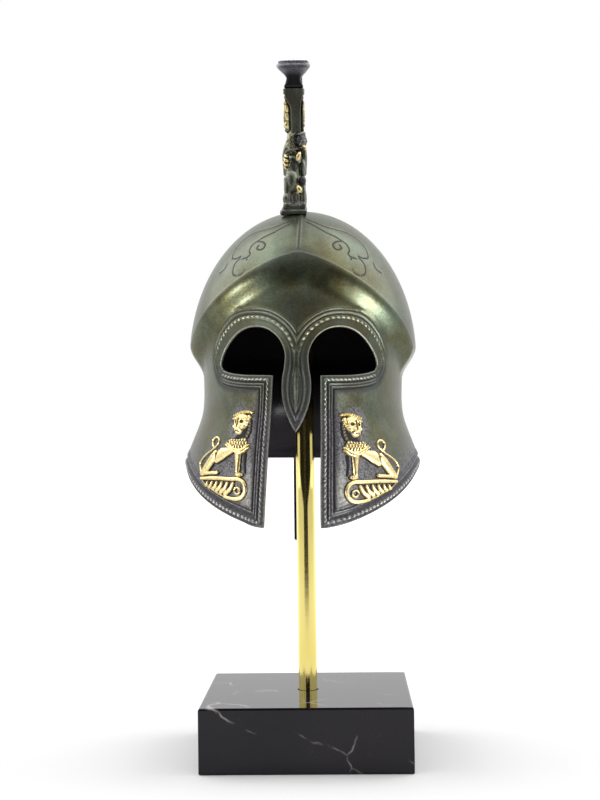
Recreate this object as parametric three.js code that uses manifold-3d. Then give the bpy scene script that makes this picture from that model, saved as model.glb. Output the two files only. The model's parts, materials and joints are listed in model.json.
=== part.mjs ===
// Crested bronze helmet of the late Corinthian form, cast as a miniature and held by a brass rod in
// a polished black marble block. Millimetres, +Z up, origin at the centre of the block's underside.
// The helmet faces -Y. Its casting is turned and leans a little on the rod, and the crest stands upright.
import * as THREE from "three";
import { mergeVertices } from "three/addons/utils/BufferGeometryUtils.js";
import Module from "manifold-3d";

// Stand
const BLOCK_SIDE = 65;
const BLOCK_HEIGHT = 20;
const BLOCK_ARRIS = 0.6;
const ROD_RADIUS = 3;
const ROD_FOOT_Z = 8.3;
const ROD_TOP_Z = 170.2;
const HOLE_RADIUS = 3.4;
const GAP = 0.3;

// Helmet casting
const HELMET_X = 0.35;
const HELMET_TURN = -1.3; // degrees about the rod's axis
const HELMET_LEAN = 0.9; // degrees towards +X, about a point of the rod's axis at LEAN_Z
const LEAN_Z = 165;
const WALL = 2.4;
const DOME = { halfWidth: 36.4, front: 44, back: 46, centreZ: 126, height: 47.6 };
const BROW_PEAK_Z = 157.5;
const BROW_SIDE_Z = 130.5;
const BROW_FALL = 19; // drop of the brow ridge for one radian away from the front, in mm
const BROW_FALL_POWER = 1.38;
const STEP_HEIGHT = 10.5; // height over which the wall steps in below the ridge, at the sides and back
const STEP_HEIGHT_FRONT = 11;
const FACE_SQUARENESS = 0.25;
const COLUMNS = 64;
const FACE_ROWS = 13;
const DOME_ROWS = 10;
const SOCKET_RADIUS = 6;
const SOCKET_FOOT_Z = 160;

// Crest
const CREST_X = -2;
const PLUME_DEPTH = 8;
const PLUME_HALF_WIDTH = 2.4;
const PLUME_END_FLARE = 3;
const PLUME_FLARE_SHARE = 0.15; // share of the plume's length over which its front end flares
const BOX_HALF_WIDTH = 3;
const BOX_REAR_WIDTH = 0.78; // how much of the box's width is left behind its front end
const BOX_NARROWING_SHARE = 0.13; // share of the crest's length over which the box narrows
const BOX_DEPTH = 13.7;
const BOX_REAR_SHARE = 0.69; // how much of the box's depth is left at its rear foot
const BOX_LENGTH_SHARE = 0.67;
const FIGURE_HALF_WIDTH = 2.3;
const WING_HALF_WIDTH = 3.5;
const PLINTH_HALF_WIDTH = 4;
const PLINTH_THICKNESS = 3.2;

const wasm = await Module();
wasm.setup();

// Materials
const finish = (color, roughness, metalness) =>
  new THREE.MeshStandardMaterial({ color, roughness, metalness });
const patina = finish(0x5f6a58, 0.42, 0.7);
const darkPatina = finish(0x34382f, 0.5, 0.7);
const reliefBronze = finish(0x7d7650, 0.4, 0.8);
const polishedBrass = finish(0xd9bd62, 0.12, 1);
const blackMarble = finish(0x1d1b20, 0.12, 0);

// A closed mesh as a manifold-3d solid, and back.
function solid(geometry) {
  const bare = new THREE.BufferGeometry().setAttribute("position", geometry.getAttribute("position"));
  if (geometry.index) bare.setIndex(geometry.index);
  const merged = mergeVertices(bare, 1e-4);
  return new wasm.Manifold(
    new wasm.Mesh({
      numProp: 3,
      vertProperties: merged.attributes.position.array,
      triVerts: new Uint32Array(merged.index.array),
    }),
  );
}

function geometryOf(manifold) {
  const mesh = manifold.getMesh();
  return new THREE.BufferGeometry()
    .setAttribute("position", new THREE.BufferAttribute(mesh.vertProperties, 3))
    .setIndex(new THREE.BufferAttribute(mesh.triVerts, 1));
}

// A closed skin over rings of points; the first and the last ring shrink to one point each.
function loft(firstPoint, rings, lastPoint) {
  const count = rings[0].length;
  const points = [firstPoint, ...rings.flat(), lastPoint];
  const faces = [];
  const at = (ring, column) => 1 + ring * count + (column % count);
  const last = points.length - 1;
  for (let column = 0; column < count; column++) {
    faces.push(0, at(0, column), at(0, column + 1));
    faces.push(last, at(rings.length - 1, column + 1), at(rings.length - 1, column));
    for (let ring = 0; ring + 1 < rings.length; ring++) {
      faces.push(at(ring, column), at(ring + 1, column), at(ring + 1, column + 1));
      faces.push(at(ring, column), at(ring + 1, column + 1), at(ring, column + 1));
    }
  }
  return new THREE.BufferGeometry().setFromPoints(points).setIndex(faces);
}

// A smooth curve value(z) through [z, value] knots.
function curveThrough(knots) {
  const slope = knots.slice(1).map(([z, v], i) => (v - knots[i][1]) / (z - knots[i][0]));
  const length = knots.slice(1).map(([z], i) => z - knots[i][0]);
  const tangent = knots.map((_, i) => {
    if (i === 0) return slope[0];
    if (i === knots.length - 1) return slope[i - 1];
    return (slope[i - 1] * length[i] + slope[i] * length[i - 1]) / (length[i - 1] + length[i]);
  });
  return (z) => {
    let i = 0;
    while (i < length.length - 1 && z > knots[i + 1][0]) i++;
    const t = (z - knots[i][0]) / length[i];
    const a = (2 * t - 3) * t * t + 1;
    const b = ((t - 2) * t + 1) * t * length[i];
    const c = (t - 1) * t * t * length[i];
    return a * knots[i][1] + b * tangent[i] + (1 - a) * knots[i + 1][1] + c * tangent[i + 1];
  };
}

// Helmet wall: plan sections are superellipses; angle 0 is the front, and the radius is measured
// from the helmet's own axis.
const wallHalfWidth = curveThrough([
  [70, 39.8], [80, 39.4], [91, 37.9], [96, 36.8], [100, 35.3], [104, 33.7], [108, 32.4],
  [113, 31.8], [118, 31.8], [128, 32], [138, 30.9], [148, 27.2], [158, 21],
]);
const wallFront = curveThrough([
  [70, 48], [80, 47], [91, 45.8], [99, 44.8], [108, 43.6],
  [118, 42], [128, 40.4], [138, 38], [148, 34.8], [158, 30.2],
]);
const wallBack = curveThrough([
  [70, 52], [80, 51], [91, 49], [99, 46], [108, 43.2],
  [118, 41.8], [128, 42], [138, 41], [148, 37], [158, 31],
]);
const rimHeight = curveThrough([
  [0, 74.8], [0.26, 75.2], [0.4, 76.8], [0.6, 79.5], [0.86, 83.4],
  [1.1, 87.3], [1.3, 90.3], [1.6, 92.6], [2.2, 93.3], [Math.PI, 93.5],
]);

function planRadius(angle, halfWidth, front, back, power) {
  const reach = Math.cos(angle) > 0 ? front : back;
  const side = Math.abs(Math.sin(angle) / halfWidth) ** power;
  const along = Math.abs(Math.cos(angle) / reach) ** power;
  return (side + along) ** (-1 / power);
}

function domeRadius(angle, z, inset) {
  const rise = (z - DOME.centreZ) / (DOME.height - inset);
  const share = Math.sqrt(Math.max(1 - rise * rise, 0));
  return share * planRadius(angle, DOME.halfWidth - inset, DOME.front - inset, DOME.back - inset, 2);
}

function faceRadius(angle, z, inset) {
  const squareness = THREE.MathUtils.clamp((DOME.centreZ - z) / 16, 0, 1) * FACE_SQUARENESS;
  const power = Math.cos(angle) > 0 ? 2 - squareness : 2;
  return planRadius(angle, wallHalfWidth(z) - inset, wallFront(z) - inset, wallBack(z) - inset, power);
}

function browHeight(angle) {
  const away = Math.min(angle, 2 * Math.PI - angle);
  return Math.max(BROW_PEAK_Z - BROW_FALL * away ** BROW_FALL_POWER, BROW_SIDE_Z);
}

// The wall's point at an angle and a height: dome above the brow ridge, stepped in below it.
function wallPoint(angle, z, inset) {
  const brow = browHeight(angle) - 0.6 * inset;
  let radius = domeRadius(angle, z, inset);
  if (z < brow) {
    const step = domeRadius(angle, brow, inset) - faceRadius(angle, brow, inset);
    const front = Math.max(Math.cos(angle), 0) ** 4;
    const stepHeight = THREE.MathUtils.lerp(STEP_HEIGHT, STEP_HEIGHT_FRONT, front);
    const down = Math.min((brow - z) / stepHeight, 1);
    radius = faceRadius(angle, z, inset) + (step * (1 + Math.cos(Math.PI * down))) / 2;
  }
  return new THREE.Vector3(radius * Math.sin(angle), -radius * Math.cos(angle), z);
}

// Rings from the crown down to the rim, closer together near the ridge.
function wallRings(inset) {
  const rings = [];
  const angles = Array.from({ length: COLUMNS }, (_, i) => (i * 2 * Math.PI) / COLUMNS);
  const top = DOME.height - inset;
  for (let row = 1; row <= DOME_ROWS; row++) {
    rings.push(
      angles.map((angle) => {
        const brow = Math.asin((browHeight(angle) - 0.6 * inset - DOME.centreZ) / top);
        const climb = THREE.MathUtils.lerp(Math.PI / 2, brow, row / DOME_ROWS);
        return wallPoint(angle, DOME.centreZ + top * Math.sin(climb), inset);
      }),
    );
  }
  for (let row = 1; row <= FACE_ROWS; row++) {
    rings.push(
      angles.map((angle) => {
        const brow = browHeight(angle) - 0.6 * inset;
        const rim = rimHeight(Math.min(angle, 2 * Math.PI - angle));
        return wallPoint(angle, brow + (rim - brow) * (row / FACE_ROWS) ** 1.6, inset);
      }),
    );
  }
  return rings;
}

// The face opening, right half: nasal edge, eye, then the cheek guard's front edge.
const NASAL = [[0, 103], [1.1, 104.5], [2.8, 108], [3.95, 111.5], [4.45, 115.5], [4.3, 119], [3.75, 122.5]];
const EYE = [
  [3.6, 126], [4.3, 128.6], [6.2, 131.6], [9.7, 134], [13.9, 134.6], [16.8, 133.9], [19.2, 132.4],
  [21.2, 130.3], [22.7, 128], [23.7, 125.3], [23.95, 123.2], [23.3, 121.7], [21.3, 120.9],
  [16.2, 120.1], [10.3, 119.9],
];
const CHEEK = [
  [7.2, 119.8], [7.45, 110], [7.8, 101], [8.05, 90], [8.3, 80], [8.4, 76.6], [9.3, 74], [9.3, 60],
];

function faceCutter() {
  const half = [...NASAL, ...EYE, ...CHEEK];
  const mirrored = half.slice(1).reverse().map(([x, z]) => [-x, z]);
  const outline = new THREE.Shape([...half, ...mirrored].map(([x, z]) => new THREE.Vector2(x, z)));
  const reach = 60;
  return new THREE.ExtrudeGeometry(outline, { depth: reach, bevelEnabled: false })
    .rotateX(Math.PI / 2)
    .translate(0, -5, 0);
}

// A boss inside the crown, cast with the helmet, with a blind bore that takes the rod's top.
function socket(radius, foot, top) {
  return new THREE.CylinderGeometry(radius, radius, top - foot, 24)
    .rotateX(Math.PI / 2)
    .translate(-HELMET_X, 0, (foot + top) / 2);
}

function helmetShell() {
  const crown = DOME.centreZ + DOME.height;
  const outer = wallRings(0);
  const inner = wallRings(WALL).reverse();
  const skin = loft(
    new THREE.Vector3(0, 0, crown),
    [...outer, ...inner],
    new THREE.Vector3(0, 0, crown - WALL),
  );
  return geometryOf(
    solid(skin)
      .subtract(solid(faceCutter()))
      .add(solid(socket(SOCKET_RADIUS, SOCKET_FOOT_Z, crown - 1)))
      .subtract(solid(socket(HOLE_RADIUS, SOCKET_FOOT_Z - 1, ROD_TOP_Z + GAP))),
  );
}

// Crest: the plume's upper edge in the median plane, from its front end over the top and down the back.
const crestEdge = new THREE.SplineCurve(
  [
    [-15, 219], [-4, 221], [9, 223.2], [22, 222], [35, 216.3], [47, 205.5],
    [57, 188], [62.8, 165], [64.5, 140], [63, 113], [60, 88], [56.5, 63.4],
  ].map(([y, z]) => new THREE.Vector2(y, z)),
);

// A band that follows the crest's edge. section(share) gives [half width, depth below the edge] pairs.
function crestBand(length, steps, section) {
  const rings = [];
  for (let step = 0; step <= steps; step++) {
    const share = (length * step) / steps;
    const edge = crestEdge.getPointAt(share);
    const along = crestEdge.getTangentAt(share);
    const place = ([x, depth]) => new THREE.Vector3(x, edge.x + along.y * depth, edge.y - along.x * depth);
    const side = section(share);
    const mirrored = side.slice().reverse().map(([x, depth]) => [-x, depth]);
    rings.push([...side, ...mirrored].reverse().map(place));
  }
  const middle = (ring) => ring.reduce((sum, p) => sum.add(p), new THREE.Vector3()).divideScalar(ring.length);
  return loft(middle(rings[0]), rings, middle(rings[steps]));
}

// The plume has a T-shaped section: a thick rounded edge, a waist, and a foot as wide as the box.
function crestPlume() {
  return crestBand(1, 34, (share) => {
    const flare = 1 - THREE.MathUtils.smoothstep(share, 0, PLUME_FLARE_SHARE);
    const edge = PLUME_HALF_WIDTH + PLUME_END_FLARE * flare;
    const waist = 1.75 + 0.55 * flare;
    const foot = PLUME_HALF_WIDTH + 0.65 * flare;
    return [
      [edge - 0.6, -0.85 * flare], [edge, 0.8 - 0.5 * flare], [edge, 1.9 - 0.3 * flare],
      [edge - 0.8, 2.6 - 0.3 * flare], [0.6 * waist + 0.4 * edge, 3.5 - 0.3 * flare],
      [waist, 4.8], [waist + 0.2, 5.9], [foot, PLUME_DEPTH - 0.6], [foot, PLUME_DEPTH],
    ];
  });
}

// The box that holds the plume tapers in depth towards its rear foot, which stands off the dome's back.
function crestBox() {
  return crestBand(BOX_LENGTH_SHARE, 24, (share) => {
    const depth = BOX_DEPTH * THREE.MathUtils.lerp(1, BOX_REAR_SHARE, share / BOX_LENGTH_SHARE);
    const narrowing = THREE.MathUtils.smoothstep(share, 0, BOX_NARROWING_SHARE);
    const side = BOX_HALF_WIDTH * THREE.MathUtils.lerp(1, BOX_REAR_WIDTH, narrowing);
    const rail = 1.12 * side;
    const top = PLUME_DEPTH + GAP;
    return [
      [rail, top], [rail, top + 1.5], [side, top + 2.2], [side, top + depth - 1], [0.8 * side, top + depth],
    ];
  });
}

// An outline in the median plane (y, z) as a plate of even thickness, centred on x. A smooth outline
// runs round through its points, and a straight one joins them.
function plate(outline, x, halfWidth, smooth = true) {
  const corners = outline.map(([y, z]) => new THREE.Vector3(y, z, 0));
  const curve = new THREE.CatmullRomCurve3(corners, true);
  const round = smooth ? curve.getPoints(4 * corners.length).slice(1) : corners;
  const shape = new THREE.Shape(round.map((p) => new THREE.Vector2(p.x, p.y)));
  const axes = new THREE.Matrix4().makeBasis(
    new THREE.Vector3(0, 1, 0),
    new THREE.Vector3(0, 0, 1),
    new THREE.Vector3(1, 0, 0),
  );
  return new THREE.ExtrudeGeometry(shape, { depth: 2 * halfWidth, bevelEnabled: false })
    .applyMatrix4(axes)
    .translate(x - halfWidth, 0, 0);
}

// Winged lion seated on a plinth that follows the dome. Its wings and back carry the crest box.
const PLINTH_FRONT = -15.2;
const PLINTH_REAR = 9.5;
const BACK = [
  [-14.2, 186], [-13, 190.5], [-9.5, 192], [-8, 197], [-2, 198.5], [5, 199.6], [4, 194], [3, 187],
  [6.5, 181], [7.5, 177], [2, 175.6], [-4, 177.5], [-8, 179.5], [-12.8, 181],
];
const FORELEG = [
  [-14.2, 186], [-14.4, 177], [-15.2, 175.6], [-15.2, 173], [-10.4, 173], [-10.8, 177], [-9.8, 186],
];
const HAUNCH = [[-2.5, 181], [1.5, 184.2], [6.5, 182], [7.2, 177.5], [2, 175], [-4.5, 176]];
const WING = [
  [-11, 184.6], [-12.2, 189.5], [-10, 194.6], [-7.5, 197.2], [-1, 198.4], [5, 199.7], [9.6, 200.6],
  [8, 196], [4.5, 191], [0, 187], [-5, 183.6],
];
const HEAD = { y: -11.8, z: 193.2, radius: 3.2 };

function crestFigure() {
  const domeReach = (y) => (y < 0 ? DOME.front : DOME.back);
  const domeTop = (y) => DOME.centreZ + DOME.height * Math.sqrt(1 - (y / domeReach(y)) ** 2);
  const steps = 8;
  const stations = Array.from({ length: steps + 1 }, (_, i) =>
    THREE.MathUtils.lerp(PLINTH_FRONT, PLINTH_REAR, i / steps),
  );
  const foot = stations.map((y) => [y, domeTop(y) + GAP]);
  const top = stations.map((y) => [y, domeTop(y) + GAP + PLINTH_THICKNESS]).reverse();
  const head = new THREE.SphereGeometry(HEAD.radius, 16, 12).scale(0.95, 1.1, 1).translate(0, HEAD.y, HEAD.z);
  const snout = new THREE.SphereGeometry(HEAD.radius * 0.5, 12, 8)
    .translate(0, HEAD.y - HEAD.radius * 0.8, HEAD.z - HEAD.radius * 0.25);
  const plinth = solid(plate([...foot, ...top], 0, PLINTH_HALF_WIDTH, false));
  let figure = plinth.add(solid(plate(BACK, 0, FIGURE_HALF_WIDTH)));
  for (const side of [-1, 1]) {
    const wingMiddle = (WING_HALF_WIDTH + FIGURE_HALF_WIDTH - 0.2) / 2;
    const wingHalf = WING_HALF_WIDTH - wingMiddle;
    figure = figure
      .add(solid(plate(FORELEG, side * 1.6, 0.9, false)))
      .add(solid(plate(HAUNCH, side * wingMiddle, wingHalf)))
      .add(solid(plate(WING, side * wingMiddle, wingHalf)));
  }
  return geometryOf(figure.add(solid(head)).add(solid(snout)));
}

// Stand
function rod() {
  const length = ROD_TOP_Z - ROD_FOOT_Z;
  return new THREE.CylinderGeometry(ROD_RADIUS, ROD_RADIUS, length, 24)
    .rotateX(Math.PI / 2)
    .translate(0, 0, ROD_FOOT_Z + length / 2);
}

function block() {
  const half = BLOCK_SIDE / 2 - BLOCK_ARRIS;
  const outline = new THREE.Shape([[-half, -half], [half, -half], [half, half], [-half, half]]
    .map(([x, y]) => new THREE.Vector2(x, y)));
  const stone = new THREE.ExtrudeGeometry(outline, {
    depth: BLOCK_HEIGHT - 2 * BLOCK_ARRIS,
    bevelSize: BLOCK_ARRIS,
    bevelThickness: BLOCK_ARRIS,
    bevelSegments: 2,
  }).translate(0, 0, BLOCK_ARRIS);
  const hole = new THREE.CylinderGeometry(HOLE_RADIUS, HOLE_RADIUS, BLOCK_HEIGHT, 24)
    .rotateX(Math.PI / 2)
    .translate(0, 0, ROD_FOOT_Z - GAP + BLOCK_HEIGHT / 2);
  return geometryOf(solid(stone).subtract(solid(hole)));
}

function piece(name, geometry, material) {
  const mesh = new THREE.Mesh(geometry, material);
  mesh.name = name;
  return mesh;
}

const stand = new THREE.Group();
stand.add(piece("marble_block", block(), blackMarble), piece("rod", rod(), polishedBrass));

const casting = new THREE.Group();
casting.add(piece("helmet_shell", helmetShell(), patina).translateZ(-LEAN_Z));
casting.rotation.set(0, THREE.MathUtils.degToRad(HELMET_LEAN), THREE.MathUtils.degToRad(HELMET_TURN), "ZYX");
casting.position.set(HELMET_X, 0, LEAN_Z);

const crest = new THREE.Group();
crest.position.x = CREST_X;
crest.add(
  piece("crest_figure", crestFigure(), reliefBronze),
  piece("crest_box", crestBox(), reliefBronze),
  piece("crest_plume", crestPlume(), darkPatina),
);

const model = new THREE.Group();
model.add(stand, casting, crest);
export default model;
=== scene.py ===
# Crested bronze helmet of the late Corinthian form on a brass rod and a black marble block.
# The script follows the object as it is put together: camera and room, stand, helmet casting and its
# rod socket, lion reliefs, plume, crest box, crest figure. The casting and the crest are worked out in
# millimetres in frames of their own (median plane x = 0) and then placed on the rod.
import json
import math
import random

import bpy
import numpy as np
from mathutils import Matrix, Vector, kdtree
from mathutils.geometry import delaunay_2d_cdt

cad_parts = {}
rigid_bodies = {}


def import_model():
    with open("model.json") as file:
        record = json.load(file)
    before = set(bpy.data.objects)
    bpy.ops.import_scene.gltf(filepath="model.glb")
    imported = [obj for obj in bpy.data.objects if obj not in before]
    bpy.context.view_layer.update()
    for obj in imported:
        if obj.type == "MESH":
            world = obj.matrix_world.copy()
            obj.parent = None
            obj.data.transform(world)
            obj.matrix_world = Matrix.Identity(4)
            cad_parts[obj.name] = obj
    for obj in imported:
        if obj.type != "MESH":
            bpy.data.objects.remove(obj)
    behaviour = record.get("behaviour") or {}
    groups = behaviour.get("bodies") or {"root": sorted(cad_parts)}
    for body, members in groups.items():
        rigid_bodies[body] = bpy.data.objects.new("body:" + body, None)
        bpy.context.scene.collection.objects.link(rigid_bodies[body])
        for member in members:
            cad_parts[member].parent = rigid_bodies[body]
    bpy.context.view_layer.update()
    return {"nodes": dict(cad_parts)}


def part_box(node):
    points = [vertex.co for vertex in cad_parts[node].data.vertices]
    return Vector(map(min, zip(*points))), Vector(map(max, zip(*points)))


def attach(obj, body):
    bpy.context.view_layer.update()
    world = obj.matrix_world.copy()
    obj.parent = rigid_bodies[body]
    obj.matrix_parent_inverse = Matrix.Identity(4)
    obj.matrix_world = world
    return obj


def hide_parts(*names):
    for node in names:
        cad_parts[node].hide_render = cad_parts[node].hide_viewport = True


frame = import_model()
MM = 0.001
scene = bpy.context.scene
for leftover in [o for o in scene.objects if o.name in ("Cube", "Light", "Camera")]:
    bpy.data.objects.remove(leftover)


# ---------------------------------------------------------------- camera, light and floor
# The object stands in a white light tent. The camera is level with the cheek guards, white cloth
# lights the sides, the top and the back, and the front opening of the tent shows dark in the metal.
CAMERA_AT = Vector((0.0119, -0.4841, 0.1054))
CAMERA_YAW, CAMERA_PITCH, CAMERA_ROLL = 1.578, 0.91, -0.718  # degrees
camera = bpy.data.objects.new("camera", bpy.data.cameras.new("camera"))
camera.data.lens = 67.5
camera.data.sensor_width = 36
camera.data.clip_start = 0.01
camera.matrix_world = (
    Matrix.Translation(CAMERA_AT)
    @ Matrix.Rotation(math.radians(CAMERA_YAW), 4, "Z")
    @ Matrix.Rotation(math.radians(90 + CAMERA_PITCH), 4, "X")
    @ Matrix.Rotation(math.radians(CAMERA_ROLL), 4, "Z")
)
scene.collection.objects.link(camera)
scene.camera = camera
scene.view_settings.view_transform = "Standard"

world = bpy.data.worlds.new("tent")
world.use_nodes = True
world.node_tree.nodes["Background"].inputs["Color"].default_value = (1, 1, 1, 1)
world.node_tree.nodes["Background"].inputs["Strength"].default_value = 1.0
scene.world = world


def flat_material(name, colour, roughness):
    """A plain material for the room, which isn't part of the object."""
    material = bpy.data.materials.new(name)
    material.use_nodes = True
    shader = material.node_tree.nodes["Principled BSDF"]
    shader.inputs["Base Color"].default_value = (*colour, 1)
    shader.inputs["Roughness"].default_value = roughness
    return material


def card(name, centre, width, height, tilt, material):
    """A flat rectangle of the room. It stands upright at tilt 0 and lies flat at tilt 90."""
    mesh = bpy.data.meshes.new(name)
    x, z = width / 2, height / 2
    mesh.from_pydata([(-x, 0, -z), (x, 0, -z), (x, 0, z), (-x, 0, z)], [], [(0, 1, 2, 3)])
    mesh.materials.append(material)
    sheet = bpy.data.objects.new(name, mesh)
    sheet.matrix_world = Matrix.Translation(centre) @ Matrix.Rotation(math.radians(tilt), 4, "X")
    scene.collection.objects.link(sheet)
    return sheet


floor_white = flat_material("white_floor", (0.62, 0.62, 0.62), 0.9)
floor_nodes = floor_white.node_tree
floor_place = floor_nodes.nodes.new("ShaderNodeNewGeometry")
floor_depth = floor_nodes.nodes.new("ShaderNodeSeparateXYZ")
floor_glow = floor_nodes.nodes.new("ShaderNodeMapRange")
floor_glow.inputs["From Min"].default_value = 0.02
floor_glow.inputs["From Max"].default_value = 0.9
floor_glow.inputs["To Max"].default_value = 0.7
floor_nodes.links.new(floor_place.outputs["Position"], floor_depth.inputs[0])
floor_nodes.links.new(floor_depth.outputs["Y"], floor_glow.inputs["Value"])
floor_shader = floor_nodes.nodes["Principled BSDF"]
floor_shader.inputs["Emission Color"].default_value = (1, 1, 1, 1)
floor_nodes.links.new(floor_glow.outputs["Result"], floor_shader.inputs["Emission Strength"])
card("floor", (0, 0, 0), 8, 8, 90, floor_white)
dark = flat_material("dark_opening", (0.012, 0.012, 0.014), 0.9)
for name, centre, width, height, tilt in (
    ("opening_sill", (0.0, -0.53, 0.001), 0.5, 0.24, 90),
    ("opening_foot", (0.0, -0.64, 0.101), 0.6, 0.198, 0),
    ("opening_top", (0.0, -0.64, 0.48), 1.3, 0.56, 0),
):
    opening = card(name, centre, width, height, tilt, dark)
    opening.visible_camera = False
    opening.visible_diffuse = False
    opening.visible_shadow = False
    opening.visible_transmission = False


glint_takers = bpy.data.collections.new("glint_takers")


def softbox(name, azimuth, elevation, distance, size, power, centre_z=0.12, only_gloss=False, takers=None):
    """A soft light that looks at the helmet from an azimuth (0 is the camera's side)."""
    data = bpy.data.lights.new(name, "AREA")
    data.shape = "RECTANGLE"
    data.size, data.size_y = size
    data.energy = power
    lamp = bpy.data.objects.new(name, data)
    a, e = math.radians(azimuth), math.radians(elevation)
    direction = Vector((math.sin(a) * math.cos(e), -math.cos(a) * math.cos(e), math.sin(e)))
    lamp.location = Vector((0, 0, centre_z)) + direction * distance
    lamp.rotation_euler = direction.to_track_quat("Z", "Y").to_euler()
    lamp.visible_diffuse = not only_gloss
    lamp.visible_camera = False
    if takers:
        lamp.light_linking.receiver_collection = takers
    scene.collection.objects.link(lamp)


# The cloth walls and the top of the tent, a lamp's glint on each side of the casting, and the glimmer that
# the rod sends back inside the helmet.
softbox("left_wall", -108, 42, 0.9, (0.8, 0.8), 4.2)
softbox("right_wall", 108, 42, 0.9, (0.8, 0.8), 4.2)
softbox("top_box", 0, 86, 1.0, (1.3, 1.3), 6)
softbox("left_glint", -51.4, -8.0, 0.6, (0.13, 0.13), 2.3, 0.144, True, glint_takers)
softbox("right_glint", 50.0, -28.0, 0.29, (0.1, 0.1), 1.2, 0.142, True, glint_takers)
softbox("left_of_rod", -80, 0, 0.022, (0.014, 0.018), 0.0006, 0.093, True)
softbox("right_of_rod", 80, 0, 0.022, (0.014, 0.018), 0.0006, 0.093, True)


# ---------------------------------------------------------------- marble block
# A sawn square block of black marble with polished faces and a fine arris, drilled from above for
# the rod. White calcite veins and small flecks run through the stone.
def node_group(name, inputs, outputs):
    """An empty shader node group with named sockets, and its input and output nodes."""
    group = bpy.data.node_groups.new(name, "ShaderNodeTree")
    for socket, kind, value in inputs:
        made = group.interface.new_socket(socket, in_out="INPUT", socket_type=kind)
        if value is not None:
            made.default_value = value
    for socket, kind in outputs:
        group.interface.new_socket(socket, in_out="OUTPUT", socket_type=kind)
    return group, group.nodes.new("NodeGroupInput"), group.nodes.new("NodeGroupOutput")


def add(tree, kind, settings=None, **values):
    """A node with its settings, and its input sockets, by name or as i0, i1, set to values or linked."""
    node = tree.nodes.new(kind)
    for key, value in (settings or {}).items():
        setattr(node, key, value)
    for key, value in values.items():
        numbered = key[0] == "i" and key[1:].isdigit()
        socket = node.inputs[int(key[1:]) if numbered else key.replace("_", " ")]
        if isinstance(value, bpy.types.NodeSocket):
            tree.links.new(value, socket)
        else:
            socket.default_value = value
    return node


def ramp(tree, value, stops):
    """A colour ramp through (position, grey or colour) stops. Gives its colour output."""
    node = add(tree, "ShaderNodeValToRGB", i0=value)
    elements = node.color_ramp.elements
    while len(elements) < len(stops):
        elements.new(0.5)
    for element, (position, colour) in zip(elements, stops):
        element.position = position
        element.color = (*colour, 1) if isinstance(colour, tuple) else (colour, colour, colour, 1)
    return node.outputs["Color"]


def mix(tree, factor, a, b, blend="MIX"):
    """Mixes two colours. Gives the colour output."""
    node = tree.nodes.new("ShaderNodeMix")
    node.data_type = "RGBA"
    node.blend_type = blend
    for socket, value in ((node.inputs[0], factor), (node.inputs[6], a), (node.inputs[7], b)):
        if isinstance(value, bpy.types.NodeSocket):
            tree.links.new(value, socket)
        else:
            socket.default_value = (*value, 1) if isinstance(value, tuple) else value
    return node.outputs[2]


def maths(tree, operation, a, b=0.0, clamp=False):
    """One arithmetic step. Gives the value output."""
    node = add(tree, "ShaderNodeMath", {"operation": operation, "use_clamp": clamp}, i0=a, i1=b)
    return node.outputs[0]


def new_material(name):
    """A material with its node tree and its Principled shader."""
    material = bpy.data.materials.new(name)
    material.use_nodes = True
    return material, material.node_tree, material.node_tree.nodes["Principled BSDF"]


marble, tree, shader = new_material("black_marble")
place = add(tree, "ShaderNodeTexCoord").outputs["Object"]
bend = add(tree, "ShaderNodeTexNoise", Vector=place, Scale=38.0, Detail=4.0, Roughness=0.6)
bent = add(
    tree, "ShaderNodeVectorMath", {"operation": "MULTIPLY_ADD"},
    i0=bend.outputs["Color"], i1=(0.012,) * 3, i2=place,
).outputs[0]
cracks = add(tree, "ShaderNodeTexVoronoi", {"feature": "DISTANCE_TO_EDGE"}, Vector=bent, Scale=58.0)
veins = ramp(tree, cracks.outputs["Distance"], [(0.0, 1.0), (0.012, 0.35), (0.03, 0.0)])
patches = add(tree, "ShaderNodeTexNoise", Vector=place, Scale=70.0, Detail=3.0)
where = ramp(tree, patches.outputs["Fac"], [(0.52, 0.0), (0.66, 1.0)])
flecks = add(tree, "ShaderNodeTexNoise", Vector=bent, Scale=420.0, Detail=5.0, Roughness=0.7)
fleck_mask = ramp(tree, flecks.outputs["Fac"], [(0.66, 0.0), (0.74, 0.6)])
vein_mask = maths(tree, "MULTIPLY", veins, where)
white = maths(tree, "MAXIMUM", vein_mask, maths(tree, "MULTIPLY", fleck_mask, where))
cloud = add(tree, "ShaderNodeTexNoise", Vector=place, Scale=24.0, Detail=6.0)
ground = ramp(tree, cloud.outputs["Fac"], [(0.35, (0.003, 0.002, 0.004)), (0.7, (0.009, 0.007, 0.011))])
stone = mix(tree, white, ground, (0.36, 0.34, 0.33))
tree.links.new(stone, shader.inputs["Base Color"])
smear = add(tree, "ShaderNodeTexNoise", Vector=place, Scale=90.0, Detail=4.0)
tree.links.new(ramp(tree, smear.outputs["Fac"], [(0.3, 0.03), (0.8, 0.09)]), shader.inputs["Roughness"])
shader.inputs["IOR"].default_value = 1.35
block = frame["nodes"]["marble_block"]
block.data.materials.clear()
block.data.materials.append(marble)


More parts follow.
